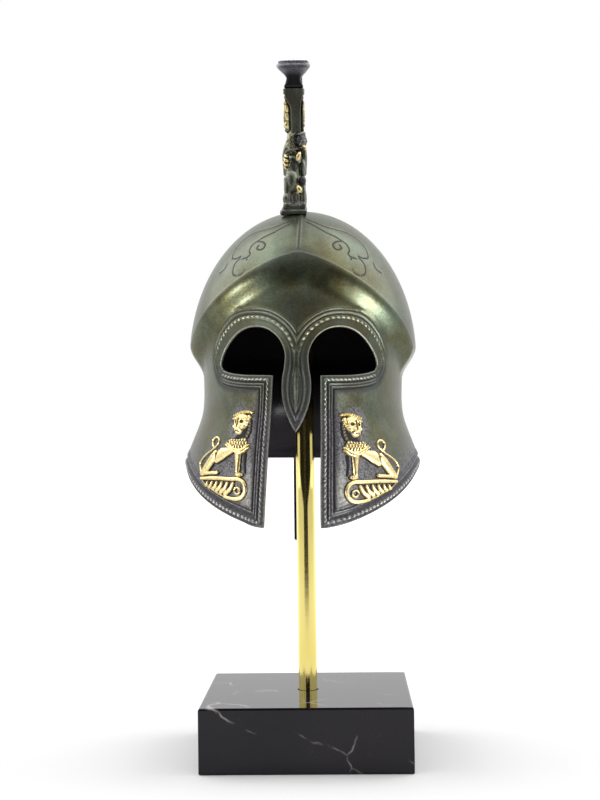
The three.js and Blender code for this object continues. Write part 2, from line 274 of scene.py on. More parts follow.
# ---------------------------------------------------------------- brass rod
# A 6 mm brass bar, turned and buffed to a mirror, glued into the block and reaching up into a boss
# in the helmet's crown. Fine polishing lines run round it.
brass, tree, shader = new_material("polished_brass")
place = add(tree, "ShaderNodeTexCoord").outputs["Object"]
stretch = add(tree, "ShaderNodeMapping", Vector=place, Scale=(60.0, 60.0, 9000.0))
lines = add(tree, "ShaderNodeTexNoise", Vector=stretch.outputs[0], Scale=1.0, Detail=2.0)
tone = add(tree, "ShaderNodeTexNoise", Vector=place, Scale=45.0, Detail=3.0)
tint = ramp(tree, tone.outputs["Fac"], [(0.3, (0.8, 0.66, 0.2)), (0.7, (0.86, 0.73, 0.27))])
tree.links.new(tint, shader.inputs["Base Color"])
tree.links.new(ramp(tree, lines.outputs["Fac"], [(0.3, 0.07), (0.8, 0.16)]), shader.inputs["Roughness"])
shader.inputs["Metallic"].default_value = 1.0
bump = add(tree, "ShaderNodeBump", Strength=0.05, Distance=0.0001, Height=lines.outputs["Fac"])
tree.links.new(bump.outputs[0], shader.inputs["Normal"])

rod_low, rod_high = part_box("rod")
ROD_RADIUS = (rod_high[0] - rod_low[0]) / 2 - 0.00002
ROD_FOOT, ROD_TOP = rod_low[2], rod_high[2]
ROD_CHAMFER = 0.0003


def lathe(name, profile, sides):
    """A closed turned solid from (radius, height) pairs that start and end on the axis."""
    rings = [(r, z) for r, z in profile if r > 0]
    verts = [(0, 0, profile[0][1]), (0, 0, profile[-1][1])]
    for r, z in rings:
        for k in range(sides):
            a = 2 * math.pi * k / sides
            verts.append((r * math.cos(a), r * math.sin(a), z))
    faces = []
    for k in range(sides):
        n = (k + 1) % sides
        faces.append((0, 2 + n, 2 + k))
        top = 2 + (len(rings) - 1) * sides
        faces.append((1, top + k, top + n))
        for i in range(len(rings) - 1):
            a, b = 2 + i * sides, 2 + (i + 1) * sides
            faces.append((a + k, a + n, b + n, b + k))
    mesh = bpy.data.meshes.new(name)
    mesh.from_pydata(verts, [], faces)
    mesh.shade_smooth()
    mesh.set_sharp_from_angle(angle=math.radians(40))
    piece = bpy.data.objects.new(name, mesh)
    scene.collection.objects.link(piece)
    return piece


rod_profile = [(0, ROD_FOOT), (ROD_RADIUS - ROD_CHAMFER, ROD_FOOT), (ROD_RADIUS, ROD_FOOT + ROD_CHAMFER)]
rod_profile += [(ROD_RADIUS, z) for z in np.linspace(ROD_FOOT + 0.01, ROD_TOP - 0.01, 9)]
rod_profile += [(ROD_RADIUS, ROD_TOP - ROD_CHAMFER), (ROD_RADIUS - ROD_CHAMFER, ROD_TOP), (0, ROD_TOP)]
rod = lathe("brass_rod", rod_profile, 96)
rod.data.materials.append(brass)
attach(rod, "root")
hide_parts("rod")


# ---------------------------------------------------------------- helmet casting
# One bronze casting, 2.4 mm thick: a dome, a brow ridge that runs round it, and a face wall with eye
# holes, nose guard, cheek guards and neck guard. Ropes, beads and fillets edge its openings, scrolls
# are chased into the dome, and the whole is patinated green and waxed.
WALL = 2.4
SET_ASIDE, HELD_AT = 0.00035, 0.165  # metres beside the rod, and the height where the rod holds it
TURNED, LEANING = -1.3, 0.9  # degrees
CASTING_PLACE = (
    Matrix.Translation((SET_ASIDE, 0, HELD_AT))
    @ Matrix.Rotation(math.radians(TURNED), 4, "Z")
    @ Matrix.Rotation(math.radians(LEANING), 4, "Y")
    @ Matrix.Translation((0, 0, -HELD_AT))
)
DOME_HALF_WIDTH, DOME_FRONT, DOME_BACK = 36.4, 44.0, 46.0
DOME_Z, DOME_RISE = 126.0, 47.6
BROW_PEAK_Z, BROW_SIDE_Z = 157.5, 130.5


def curve_through(knots):
    """A smooth curve value(at) through (at, value) knots."""
    at_knots, values = np.array(knots, float).T
    step = np.diff(at_knots)
    slope = np.diff(values) / step
    tangent = np.empty(len(values))
    tangent[0], tangent[-1] = slope[0], slope[-1]
    tangent[1:-1] = (slope[:-1] * step[1:] + slope[1:] * step[:-1]) / (step[:-1] + step[1:])

    def value(at):
        i = np.clip(np.searchsorted(at_knots, at) - 1, 0, len(step) - 1)
        t = (at - at_knots[i]) / step[i]
        a = (2 * t - 3) * t * t + 1
        b = ((t - 2) * t + 1) * t * step[i]
        c = (t - 1) * t * t * step[i]
        return a * values[i] + b * tangent[i] + (1 - a) * values[i + 1] + c * tangent[i + 1]

    return value


wall_half_width = curve_through([
    (70, 39.8), (80, 39.4), (91, 37.9), (96, 36.8), (100, 35.3), (104, 33.7), (108, 32.4),
    (113, 31.8), (118, 31.8), (128, 32), (138, 30.9), (148, 27.2), (158, 21),
])
wall_front = curve_through([
    (70, 48), (80, 47), (91, 45.8), (99, 44.8), (108, 43.6),
    (118, 42), (128, 40.4), (138, 38), (148, 34.8), (158, 30.2),
])
wall_back = curve_through([
    (70, 52), (80, 51), (91, 49), (99, 46), (108, 43.2),
    (118, 41.8), (128, 42), (138, 41), (148, 37), (158, 31),
])
rim_height = curve_through([
    (0, 74.8), (0.26, 75.2), (0.4, 76.8), (0.6, 79.5), (0.86, 83.4),
    (1.1, 87.3), (1.3, 90.3), (1.6, 92.6), (2.2, 93.3), (math.pi, 93.5),
])


def smooth(low, high, value):
    """0 below low, 1 above high, and an S-curve between them."""
    t = np.clip((value - low) / (high - low), 0, 1)
    return t * t * (3 - 2 * t)


def plan_radius(angle, half_width, front, back, power):
    """Radius of a plan section at an angle from the front. It is an ellipse when power is 2."""
    reach = np.where(np.cos(angle) > 0, front, back)
    side = np.abs(np.sin(angle) / half_width) ** power
    along = np.abs(np.cos(angle) / reach) ** power
    return (side + along) ** (-1 / power)


def dome_radius(angle, z, inset):
    """Radius of the dome at an angle from the front and a height, inset from its outer face."""
    rise = (z - DOME_Z) / (DOME_RISE - inset)
    share = np.sqrt(np.maximum(1 - rise * rise, 0))
    return share * plan_radius(angle, DOME_HALF_WIDTH - inset, DOME_FRONT - inset, DOME_BACK - inset, 2)


def face_radius(angle, z, inset):
    """Radius of the face wall below the ridge. Its front is a little more pointed than an ellipse."""
    power = np.where(np.cos(angle) > 0, 2 - 0.25 * np.clip((DOME_Z - z) / 16, 0, 1), 2)
    return plan_radius(angle, wall_half_width(z) - inset, wall_front(z) - inset, wall_back(z) - inset, power)


def brow_height(angle):
    """Height of the ridge, which peaks at the front and runs level round the back."""
    return np.maximum(BROW_PEAK_Z - 19 * np.abs(angle) ** 1.38, BROW_SIDE_Z)


def wall_point(angle, z, inset=0.0):
    """The wall's surface: dome above the brow ridge, stepped in below it. Angle 0 is the front."""
    brow = brow_height(angle) - 0.6 * inset
    step = dome_radius(angle, brow, inset) - face_radius(angle, brow, inset)
    step_height = 10.5 + 0.5 * np.maximum(np.cos(angle), 0) ** 4
    down = np.clip((brow - z) / step_height, 0, 1)
    below = face_radius(angle, z, inset) + step * (1 + np.cos(np.pi * down)) / 2
    radius = np.where(z < brow, below, dome_radius(angle, z, inset))
    return np.stack([radius * np.sin(angle), -radius * np.cos(angle), z + 0 * angle], axis=-1)


# The face wall is laid out flat by arc length: a point of the layout is (length from the median along
# its own plan section, height). The tables turn that length into an angle and back.
TABLE_STEP, TABLE_COLUMNS = 0.5, 721
TABLE_Z = np.arange(60, 160.1, TABLE_STEP)
TABLE_ANGLE = np.linspace(0, math.pi, TABLE_COLUMNS)
sections = wall_point(*np.meshgrid(TABLE_ANGLE, TABLE_Z))
arc_table = np.zeros(sections.shape[:2])
arc_table[:, 1:] = np.cumsum(np.linalg.norm(np.diff(sections, axis=1), axis=2), axis=1)
even_shares = np.linspace(0, 1, TABLE_COLUMNS)
angle_table = np.array([np.interp(even_shares, row / row[-1], TABLE_ANGLE) for row in arc_table])


def look_up(table, z, share):
    """Value of a table at heights z and at shares (0 to 1) of its columns."""
    row = np.clip((z - TABLE_Z[0]) / TABLE_STEP, 0, len(TABLE_Z) - 1.001)
    column = np.clip(share, 0, 1) * (TABLE_COLUMNS - 1.001)
    i, j = row.astype(int), column.astype(int)
    u, v = row - i, column - j
    upper = table[i, j] * (1 - v) + table[i, j + 1] * v
    lower = table[i + 1, j] * (1 - v) + table[i + 1, j + 1] * v
    return upper * (1 - u) + lower * u


def half_girth(z):
    """Arc length from the front median to the nape at a height."""
    return np.interp(z, TABLE_Z, arc_table[:, -1])


def angle_at(along, z):
    """Angle from the front of a point given by its arc length."""
    return look_up(angle_table, z, along / half_girth(z))


def along_at(angle, z):
    """Arc length of a point given by its angle from the front."""
    return look_up(arc_table, z, angle / math.pi)


def along_from_x(x, z):
    """Arc length from the median of the front wall's point that lies x to the side at height z."""
    front = TABLE_ANGLE[: TABLE_COLUMNS // 2 + 1]
    section = wall_point(front, np.full(len(front), float(z)))
    angle = np.interp(x, section[:, 0], front)
    return float(along_at(np.array([angle]), np.array([float(z)]))[0])


def face_surface(flat, height=0.0, inset=0.0):
    """3-D points of flat layout points, raised by height along the wall's normal."""
    z = flat[:, 1]
    angle = angle_at(flat[:, 0], z)
    if inset:
        brow = brow_height(angle)
        lowered = z - 0.6 * inset * (1 - smooth(0, 12, brow - z))
        return wall_point(angle, lowered, inset)
    tiny = 0.01
    across = wall_point(angle + tiny / 30, z) - wall_point(angle - tiny / 30, z)
    up = wall_point(angle, z + tiny) - wall_point(angle, z - tiny)
    normal = np.cross(across, up)
    normal /= np.linalg.norm(normal, axis=1, keepdims=True)
    return wall_point(angle, z) + normal * np.reshape(height, (-1, 1))


def route(points, step=0.3):
    """Points every step mm along a smooth open curve through the given ones."""
    p = np.array(points, float)
    if len(p) > 2:
        p = np.vstack([2 * p[0] - p[1], p, 2 * p[-1] - p[-2]])
        gap = np.maximum(np.linalg.norm(np.diff(p, axis=0), axis=1), 1e-6) ** 0.5
        t = np.concatenate([[0], np.cumsum(gap)])
        curve = []
        for i in range(1, len(p) - 2):
            s = np.linspace(t[i], t[i + 1], 25)[:-1, None]
            a1 = (t[i] - s) / gap[i - 1] * p[i - 1] + (s - t[i - 1]) / gap[i - 1] * p[i]
            a2 = (t[i + 1] - s) / gap[i] * p[i] + (s - t[i]) / gap[i] * p[i + 1]
            a3 = (t[i + 2] - s) / gap[i + 1] * p[i + 1] + (s - t[i + 1]) / gap[i + 1] * p[i + 2]
            b1 = (t[i + 1] - s) / (gap[i - 1] + gap[i]) * a1 + (s - t[i - 1]) / (gap[i - 1] + gap[i]) * a2
            b2 = (t[i + 2] - s) / (gap[i] + gap[i + 1]) * a2 + (s - t[i]) / (gap[i] + gap[i + 1]) * a3
            curve.append((t[i + 1] - s) / gap[i] * b1 + (s - t[i]) / gap[i] * b2)
        p = np.vstack([*curve, p[-2]])
    length = np.concatenate([[0], np.cumsum(np.linalg.norm(np.diff(p, axis=0), axis=1))])
    count = max(int(round(length[-1] / step)), 1)
    at = np.linspace(0, length[-1], count + 1)
    return np.stack([np.interp(at, length, column) for column in p.T], axis=1)


# The edge of the face opening and of the rim, right half, in flat layout points. It starts at the nose
# guard's tip and ends at the nape, with the metal on its left.
NOSE_AND_EYE_TOP = [
    (0, 103), (1.1, 104.5), (2.8, 108), (3.95, 111.5), (4.45, 115.5), (4.3, 119), (3.75, 122.5),
    (3.6, 126), (4.3, 128.6), (6.2, 131.6), (9.7, 134), (13.9, 134.6), (16.8, 133.9), (19.2, 132.4),
    (21.2, 130.3), (22.7, 128), (23.7, 125.3), (23.95, 123.2), (23.3, 121.7),
]
EYE_FOOT = [(23.3, 121.7), (21.3, 120.9), (16.2, 120.1), (10.3, 119.9), (7.2, 119.8)]
CHEEK_FRONT = [(7.2, 119.8), (7.45, 110), (7.8, 101), (8.05, 90), (8.3, 80), (8.45, 75.2)]


def on_layout(points):
    """Flat layout points of (side, height) points of the front elevation."""
    return [(along_from_x(x, z), z) for x, z in points]


toe_along, toe_z = on_layout(CHEEK_FRONT[-1:])[0]
toe_turn = float(angle_at(np.array([toe_along]), np.array([toe_z]))[0])
rim_turns = np.linspace(toe_turn, math.pi, 60)
rim_z = rim_height(rim_turns)
RIM_STEP = 0.34
stretches = [
    route(on_layout(NOSE_AND_EYE_TOP)),
    route(on_layout(EYE_FOOT)),
    route(on_layout(CHEEK_FRONT)),
    route(np.stack([along_at(rim_turns, rim_z), rim_z], axis=1), RIM_STEP),
]
edge = np.vstack([stretches[0]] + [s[1:] for s in stretches[1:]])
corners = np.cumsum([len(s) - 1 for s in stretches])  # eye corner, cheek's upper corner, cheek's toe, nape
edge_length = np.concatenate([[0], np.cumsum(np.linalg.norm(np.diff(edge, axis=0), axis=1))])


def left_of(path):
    """Unit directions at right angles to a path's steps, towards its left."""
    step = np.gradient(path, axis=0)
    step /= np.linalg.norm(step, axis=1, keepdims=True)
    return np.stack([-step[:, 1], step[:, 0]], axis=1)


def tree_of(points):
    """A search tree of flat or 3-D points."""
    tree = kdtree.KDTree(len(points))
    for i, p in enumerate(points):
        tree.insert((*p, 0)[:3], i)
    tree.balance()
    return tree


def nearest_on(path, points):
    """Distance of each point to a path, and the place of its nearest point in fractions of an index."""
    tree = tree_of(path)
    found = np.array([tree.find((p[0], p[1], 0))[1] for p in points])
    best, place = np.full(len(points), 1e9), np.zeros(len(points))
    for first in (found - 1, found):
        i = np.clip(first, 0, len(path) - 2)
        a, step = path[i], path[i + 1] - path[i]
        t = np.clip(np.sum((points - a) * step, axis=1) / np.sum(step * step, axis=1), 0, 1)
        distance = np.linalg.norm(points - a - step * t[:, None], axis=1)
        closer = distance < best
        best, place = np.where(closer, distance, best), np.where(closer, i + t, place)
    return best, place


def hump(low, high, value):
    """A round hump of height 1 between low and high."""
    return np.sin(np.pi * np.clip((value - low) / (high - low), 0, 1)) ** 2


def rope(low, high, pitch, offset, along):
    """Slanting strands of a rope moulding of height 1 between two offsets from the edge."""
    slant = (offset - (low + high) / 2) / (high - low)
    strand = 0.5 + 0.5 * np.cos(2 * np.pi * (along / pitch + 0.8 * slant))
    return np.sqrt(hump(low, high, offset)) * (0.25 + 0.75 * strand**0.7)


LEAF_Z = 119  # middle of the leaf that is chased down the nose guard


def border_height(offset, place, flat):
    """Height of the edge mouldings at an offset from the edge: ropes, beads, fillets and grooves."""
    along = np.interp(place, np.arange(len(edge)), edge_length)
    at_rim = (along > edge_length[corners[2]]).astype(float)
    offset = offset / (1 + 0.2 * smooth(14, 24, flat[:, 0]) * smooth(121, 126, flat[:, 1]) * (1 - at_rim))
    corner = edge_length[corners]
    nose = 1 - smooth(122, 131, flat[:, 1])
    top_or_foot = smooth(corner[0] - 3.5, corner[0] + 2.5, along)
    nose_guard = (
        0.1 * hump(0, 1.7, offset)
        + 0.3 * hump(1.6, 2.25, offset)
        - 0.18 * hump(2.2, 2.9, offset)
        + 0.24 * hump(2.85, 3.4, offset)
    )
    eye_top = (
        -0.35 * (1 - smooth(0.2, 2.5, offset))
        + 0.42 * rope(2.4, 3.6, 1.45, offset, along)
        - 0.2 * hump(3.5, 4.25, offset)
        + 0.3 * hump(4.15, 4.85, offset)
        - 0.16 * hump(4.8, 5.35, offset)
        + 0.22 * hump(5.3, 5.95, offset)
    )
    cheek = (
        0.46 * rope(0.85, 1.95, 1.5, offset, along)
        - 0.26 * hump(1.8, 2.4, offset)
        + 0.26 * hump(2.3, 3.05, offset)
        - 0.16 * hump(2.9, 3.3, offset)
        + 0.24 * hump(3.15, 3.85, offset)
        - 0.34 * hump(3.75, 4.5, offset)
    )
    bead = 0.5 + 0.5 * np.cos(2 * np.pi * along / 1.65)
    rim = (
        0.5 * np.sqrt(hump(0.8, 2.1, offset)) * bead**0.6
        - 0.12 * hump(0.5, 0.95, offset)
        - 0.14 * hump(1.95, 3.7, offset)
        + 0.28 * hump(3.6, 4.25, offset)
        - 0.16 * hump(4.15, 4.6, offset)
        + 0.22 * hump(4.5, 5.05, offset)
    )
    top = nose_guard * nose + eye_top * (1 - nose)
    face = top * (1 - top_or_foot) + cheek * top_or_foot
    height = np.where(at_rim > 0, rim, face)
    from_leaf = np.abs(flat[:, 1] - LEAF_Z)
    leaf_half_width = 1.15 * np.clip(1 - from_leaf / 10.5, 0.001, 1) ** 0.6
    leaf = np.clip(1 - np.abs(flat[:, 0]) / leaf_half_width, 0, 1)
    height += 0.42 * leaf**0.6 * (from_leaf < 10.4)
    rounding = 0.45
    into = np.clip(rounding - offset, 0, rounding)
    return height - (rounding - np.sqrt(rounding**2 - into**2))


# Rows of points along the edge at growing offsets. A point that lies nearer to another stretch of the
# edge than to its own is left out, and the mitres at the corners get points of their own.
OFFSETS = np.array([
    0.07, 0.18, 0.32, 0.5, 0.7, 0.9, 1.05, 1.2, 1.35, 1.5, 1.65, 1.8, 2.0, 2.2, 2.4, 2.6, 2.8, 3.0,
    3.15, 3.3, 3.5, 3.7, 3.9, 4.1, 4.3, 4.5, 4.7, 4.9, 5.1, 5.35, 5.6, 5.9, 6.3, 6.9, 7.7,
])
PAST_CORNER = 8  # steps from a corner to where the directions of its mitre are taken


def offset_rows():
    """All row points with the offset that each was made for."""
    points, wanted = [], []
    for stretch in stretches:
        side = left_of(stretch)
        for offset in OFFSETS:
            points.append(stretch + side * offset)
            wanted.append(np.full(len(stretch), offset))
    start, end = left_of(stretches[0])[-1], left_of(stretches[1])[0]
    first = math.atan2(start[1], start[0])
    turn = (math.atan2(end[1], end[0]) - first + math.pi) % (2 * math.pi) - math.pi
    for offset in OFFSETS:
        rays = first + turn * np.linspace(0, 1, max(int(abs(turn) * offset / 0.35), 1) + 1)[1:-1]
        points.append(stretches[0][-1] + offset * np.stack([np.cos(rays), np.sin(rays)], axis=1))
        wanted.append(np.full(len(rays), offset))
    for before, after in ((1, 2), (2, 3)):
        a, b = left_of(stretches[before])[-PAST_CORNER], left_of(stretches[after])[PAST_CORNER]
        middle = (a + b) / np.linalg.norm(a + b)
        spread = 1 / max(float(middle @ a), 0.3)
        points.append(stretches[after][0] + middle * (OFFSETS * spread)[:, None])
        wanted.append(OFFSETS)
    return np.vstack(points), np.concatenate(wanted)


def spaced(points, taken, gap):
    """The points that keep at least gap from the taken ones."""
    tree = tree_of(taken)
    keep = [tree.find((p[0], p[1], 0))[2] >= gap for p in points]
    return points[np.array(keep, bool)]


def thinned(points, gap):
    """The points without those that lie closer than gap to an earlier one."""
    tree = tree_of(points)
    dropped = np.zeros(len(points), bool)
    for i, p in enumerate(points):
        if not dropped[i]:
            for _, j, _ in tree.find_range((p[0], p[1], 0), gap):
                dropped[j] = dropped[j] or j > i
    return points[~dropped]


def hexagon_points(low, high, step):
    """Points of an even triangular pattern that fills a rectangle."""
    rows = []
    for k, y in enumerate(np.arange(low[1], high[1], step * 0.866)):
        x = np.arange(low[0] + (k % 2) * step / 2, high[0], step)
        rows.append(np.stack([x, np.full(len(x), y)], axis=1))
    return np.vstack(rows)


def triangulate(boundary, inner):
    """Delaunay triangles inside a closed boundary, through its points and the inner ones."""
    points = np.vstack([boundary, inner])
    loop = list(range(len(boundary)))
    result = delaunay_2d_cdt([Vector(p) for p in points], [], [loop], 1, 1e-5)
    if len(result[0]) != len(points):
        raise ValueError("two points of a layout coincide")
    return np.array(result[2])


def below_brow(flat):
    """How far points of the face wall's layout lie below the ridge."""
    return brow_height(angle_at(flat[:, 0], flat[:, 1])) - flat[:, 1]


def wall_filling(step, first, off_ridge, off_nape, off_edge):
    """Even points of the face wall's layout that keep these distances from its outline."""
    loose = hexagon_points((first, 74), (140, 158), step)
    above_rim = loose[:, 1] > rim_height(angle_at(loose[:, 0], loose[:, 1]))
    before_nape = loose[:, 0] < half_girth(loose[:, 1]) - off_nape
    loose = loose[(below_brow(loose) > off_ridge) & before_nape & above_rim]
    distance, place = nearest_on(edge, loose)
    nearest = place.astype(int)
    step_at = edge[np.minimum(nearest + 1, len(edge) - 1)] - edge[nearest]
    away = loose - edge[nearest]
    on_metal = step_at[:, 0] * away[:, 1] - step_at[:, 1] * away[:, 0] > 0
    return loose[on_metal & (distance > off_edge)]


RIDGE_COUNT = 260
ridge_turns = np.linspace(0, math.pi, RIDGE_COUNT + 1)
ridge_z = brow_height(ridge_turns)
ridge_flat = np.stack([along_at(ridge_turns, ridge_z), ridge_z], axis=1)
nape_z = np.linspace(rim_z[-1], BROW_SIDE_Z, 32)[1:-1]
nape_flat = np.stack([half_girth(nape_z), nape_z], axis=1)
median_z = np.concatenate([np.arange(156.6, 140, -0.9), np.arange(139.5, 103.2, -0.25)])
median_flat = np.stack([0 * median_z, median_z], axis=1)
boundary = np.vstack([edge, nape_flat, ridge_flat[::-1], median_flat])

rows, wanted = offset_rows()
seen, _ = nearest_on(edge, rows)
between_medians = (rows[:, 0] > 0.1) & (rows[:, 0] < half_girth(rows[:, 1]) - 0.12)
rows = thinned(rows[(seen > wanted - 0.03) & between_medians & (below_brow(rows) > 1.2)], 0.06)
below_ridge = np.vstack([ridge_flat[1:-1] - (0, drop) for drop in (0.2, 0.45, 0.9, 1.6)])
fine = np.vstack([rows, below_ridge])
coarse = spaced(wall_filling(1.25, 0.6, 1.9, 0.6, 0.7), np.vstack([fine, boundary]), 0.75)
face_inner = np.vstack([fine, coarse])
face_flat = np.vstack([boundary, face_inner])
face_faces = triangulate(boundary, face_inner)
face_offset, face_place = nearest_on(edge, face_flat)
face_height = np.where(face_offset < 9.5, border_height(face_offset, face_place, face_flat), 0)
face_points = face_surface(face_flat, face_height)


# The dome is laid out flat from its apex: distance from the centre is arc length down the dome, and the
# direction is the turn about the helmet's axis. Scrolls are chased into it on both sides of the keel.
DOME_SPREAD = 42.0  # layout mm for one radian of climb


def dome_flat(angle, z):
    """Layout points of the dome at angles from the front and heights."""
    fall = DOME_SPREAD * (math.pi / 2 - np.arcsin((z - DOME_Z) / DOME_RISE))
    return np.stack([fall * np.sin(angle), -fall * np.cos(angle)], axis=-1)


def dome_surface(flat, height=0.0, inset=0.0):
    """3-D points of the dome's layout points, raised by height along the dome's normal."""
    angle = np.arctan2(flat[:, 0], -flat[:, 1])
    fall = np.linalg.norm(flat, axis=1) / DOME_SPREAD
    if inset:
        brow = brow_height(angle)
        outer = math.pi / 2 - np.arcsin((brow - DOME_Z) / DOME_RISE)
        inner = math.pi / 2 - np.arcsin((brow - 0.6 * inset - DOME_Z) / (DOME_RISE - inset))
        fall = fall * inner / outer
    z = DOME_Z + (DOME_RISE - inset) * np.cos(fall)
    radius = dome_radius(angle, z, inset)
    point = np.stack([radius * np.sin(angle), -radius * np.cos(angle), z], axis=1)
    reach = np.where(point[:, 1] < 0, DOME_FRONT, DOME_BACK)
    semi_axes = np.stack([0 * z + DOME_HALF_WIDTH, reach, 0 * z + DOME_RISE], axis=1)
    normal = (point - (0, 0, DOME_Z)) / semi_axes**2
    normal /= np.linalg.norm(normal, axis=1, keepdims=True)
    return point + normal * np.reshape(height, (-1, 1))


def on_dome(points):
    """Layout points of the dome's front from (side, height) points of its front elevation."""
    turns = np.linspace(0, math.pi / 2, 400)
    found = []
    for x, z in points:
        angle = np.interp(x, dome_radius(turns, z, 0) * np.sin(turns), turns)
        found.append(dome_flat(angle, z))
    return found


SCROLLS = [
    [(1.8, 168.8), (7.8, 166.3), (11.3, 165.5), (15.1, 164.4), (18.3, 162.2), (20.1, 160.0), (21.0, 157.6),
     (20.9, 156.5), (19.4, 156.2), (18.1, 156.7)],
    [(1.7, 167.9), (7.8, 164.3), (10.8, 162.9), (12.8, 161.6), (14.4, 160.4), (15.3, 158.5), (14.9, 157.2)],
    [(12.8, 161.4), (11.2, 161.0), (10.3, 160.0), (10.8, 158.7), (12.0, 158.3), (12.9, 159.0), (12.4, 159.8)],
    [(18.1, 156.2), (19.6, 154.6), (20.2, 152.8), (20.1, 150.9), (18.7, 150.3), (17.1, 150.8), (16.4, 152.0)],
    [(22.7, 155.0), (23.3, 153.3), (24.2, 152.5), (25.1, 152.0)],
    [(14.9, 157.2), (15.7, 156.2), (17.2, 155.8)],
]
SCROLL_DOTS = [(15.9, 155.4), (12.4, 159.8), (18.1, 156.7), (25.1, 152.0), (16.4, 152.0)]
scrolls = [route(on_dome(points), 0.22) for points in SCROLLS]
scroll_dots = np.array(on_dome(SCROLL_DOTS))
BESIDE_LINE = (0, -0.13, 0.13, -0.27, 0.27, -0.5, 0.5)
line_points = [line + left_of(line) * side for line in scrolls for side in BESIDE_LINE]
eighths = 2 * np.pi * np.arange(8) / 8
circle = np.stack([np.cos(eighths), np.sin(eighths)], axis=1)
dot_rings = [dot + radius * circle for dot in scroll_dots for radius in (0.25, 0.5)]
line_points = np.vstack(line_points + dot_rings + [scroll_dots])

peak, nape = dome_flat(0.0, BROW_PEAK_Z), dome_flat(math.pi, BROW_SIDE_Z)
dome_ridge = dome_flat(ridge_turns, ridge_z)
dome_ridge[:, 0] = np.maximum(dome_ridge[:, 0], 0)
seam_y = np.concatenate([np.arange(nape[1] - 1.2, 0, -1.2), np.arange(0, peak[1] + 0.3, -0.5)])
dome_seam = np.stack([0 * seam_y, seam_y], axis=1)
dome_boundary = np.vstack([dome_ridge, dome_seam])
keel_y = np.arange(-1.5, peak[1] + 0.4, -0.5)
keel_rows = [np.stack([0 * keel_y + side, keel_y], axis=1) for side in (0.18, 0.36, 0.55, 0.8, 1.2)]
reach = np.linalg.norm(dome_ridge[1:-1], axis=1, keepdims=True)
above_ridge = np.vstack([dome_ridge[1:-1] * (1 - rise / reach) for rise in (0.2, 0.45, 0.9, 1.6)])
dome_fine = thinned(np.vstack(keel_rows + [line_points]), 0.1)


def short_of_ridge(points):
    """How far points of the dome's layout lie inside the ridge."""
    angle = np.arctan2(points[:, 0], -points[:, 1])
    return np.linalg.norm(dome_flat(angle, brow_height(angle)), axis=1) - np.linalg.norm(points, axis=1)


dome_fine = dome_fine[(short_of_ridge(dome_fine) > 2.0) & (dome_fine[:, 0] > 0.1)]
dome_fine = np.vstack([above_ridge[above_ridge[:, 0] > 0.12], dome_fine])
dome_coarse = hexagon_points((0.7, -70), (70, 70), 1.25)
dome_coarse = dome_coarse[short_of_ridge(dome_coarse) > 1.9]
dome_coarse = spaced(dome_coarse, np.vstack([dome_fine, dome_boundary]), 0.75)
dome_inner = np.vstack([dome_fine, dome_coarse])
dome_layout = np.vstack([dome_boundary, dome_inner])
dome_faces = triangulate(dome_boundary, dome_inner)
scroll_gap = np.min([nearest_on(path, dome_layout)[0] for path in scrolls], axis=0)
dot_gap = np.min([np.linalg.norm(dome_layout - dot, axis=1) for dot in scroll_dots], axis=0)
chased = np.maximum(1 - smooth(0.14, 0.36, scroll_gap), 1 - smooth(0.2, 0.5, dot_gap))
above_brow = short_of_ridge(dome_layout)
on_keel = (1 - smooth(0.1, 0.75, dome_layout[:, 0])) * (dome_layout[:, 1] < -1) * smooth(0, 1.0, above_brow)
dome_height = -0.12 * chased + 0.2 * on_keel
dome_points = dome_surface(dome_layout, dome_height)

# The right half is welded from both layouts, closed through the rounded edges with an inner skin, and
# mirrored. Fields on its points say where the metal is rubbed bright or lightened as a painted highlight,
# where dirt lies or shade is painted, where the patina is sooty, and what is inside.
ridge_start = len(edge) + len(nape_flat)
ridge_in_face = ridge_start + RIDGE_COUNT - np.arange(RIDGE_COUNT + 1)


def weld(face_xyz, dome_xyz, dome_triangles, shared):
    """Joins the dome's points to the face wall's, with the ridge points shared."""
    place = np.concatenate([shared, len(face_xyz) + np.arange(len(dome_xyz) - len(shared))])
    return np.vstack([face_xyz, dome_xyz[len(shared):]]), place[dome_triangles]


outer_points, dome_faces = weld(face_points, dome_points, dome_faces, ridge_in_face)
outer_faces = np.vstack([face_faces, dome_faces])

inner_coarse = spaced(wall_filling(3.0, 1.2, 1.5, 1.0, 2.2), boundary, 1.2)
inner_flat = np.vstack([boundary, inner_coarse])
inner_face_faces = triangulate(boundary, inner_coarse)
inner_dome_coarse = hexagon_points((1.2, -70), (70, 70), 3.0)
inner_dome_coarse = spaced(inner_dome_coarse[short_of_ridge(inner_dome_coarse) > 1.5], dome_boundary, 1.2)
inner_dome_flat = np.vstack([dome_boundary, inner_dome_coarse])
inner_dome_faces = triangulate(dome_boundary, inner_dome_coarse)
inner_face_points = face_surface(inner_flat, inset=WALL)
inner_dome_points = dome_surface(inner_dome_flat, inset=WALL)
inner_points, inner_dome_faces = weld(inner_face_points, inner_dome_points, inner_dome_faces, ridge_in_face)
inner_faces = np.vstack([inner_face_faces, inner_dome_faces])[:, ::-1] + len(outer_points)
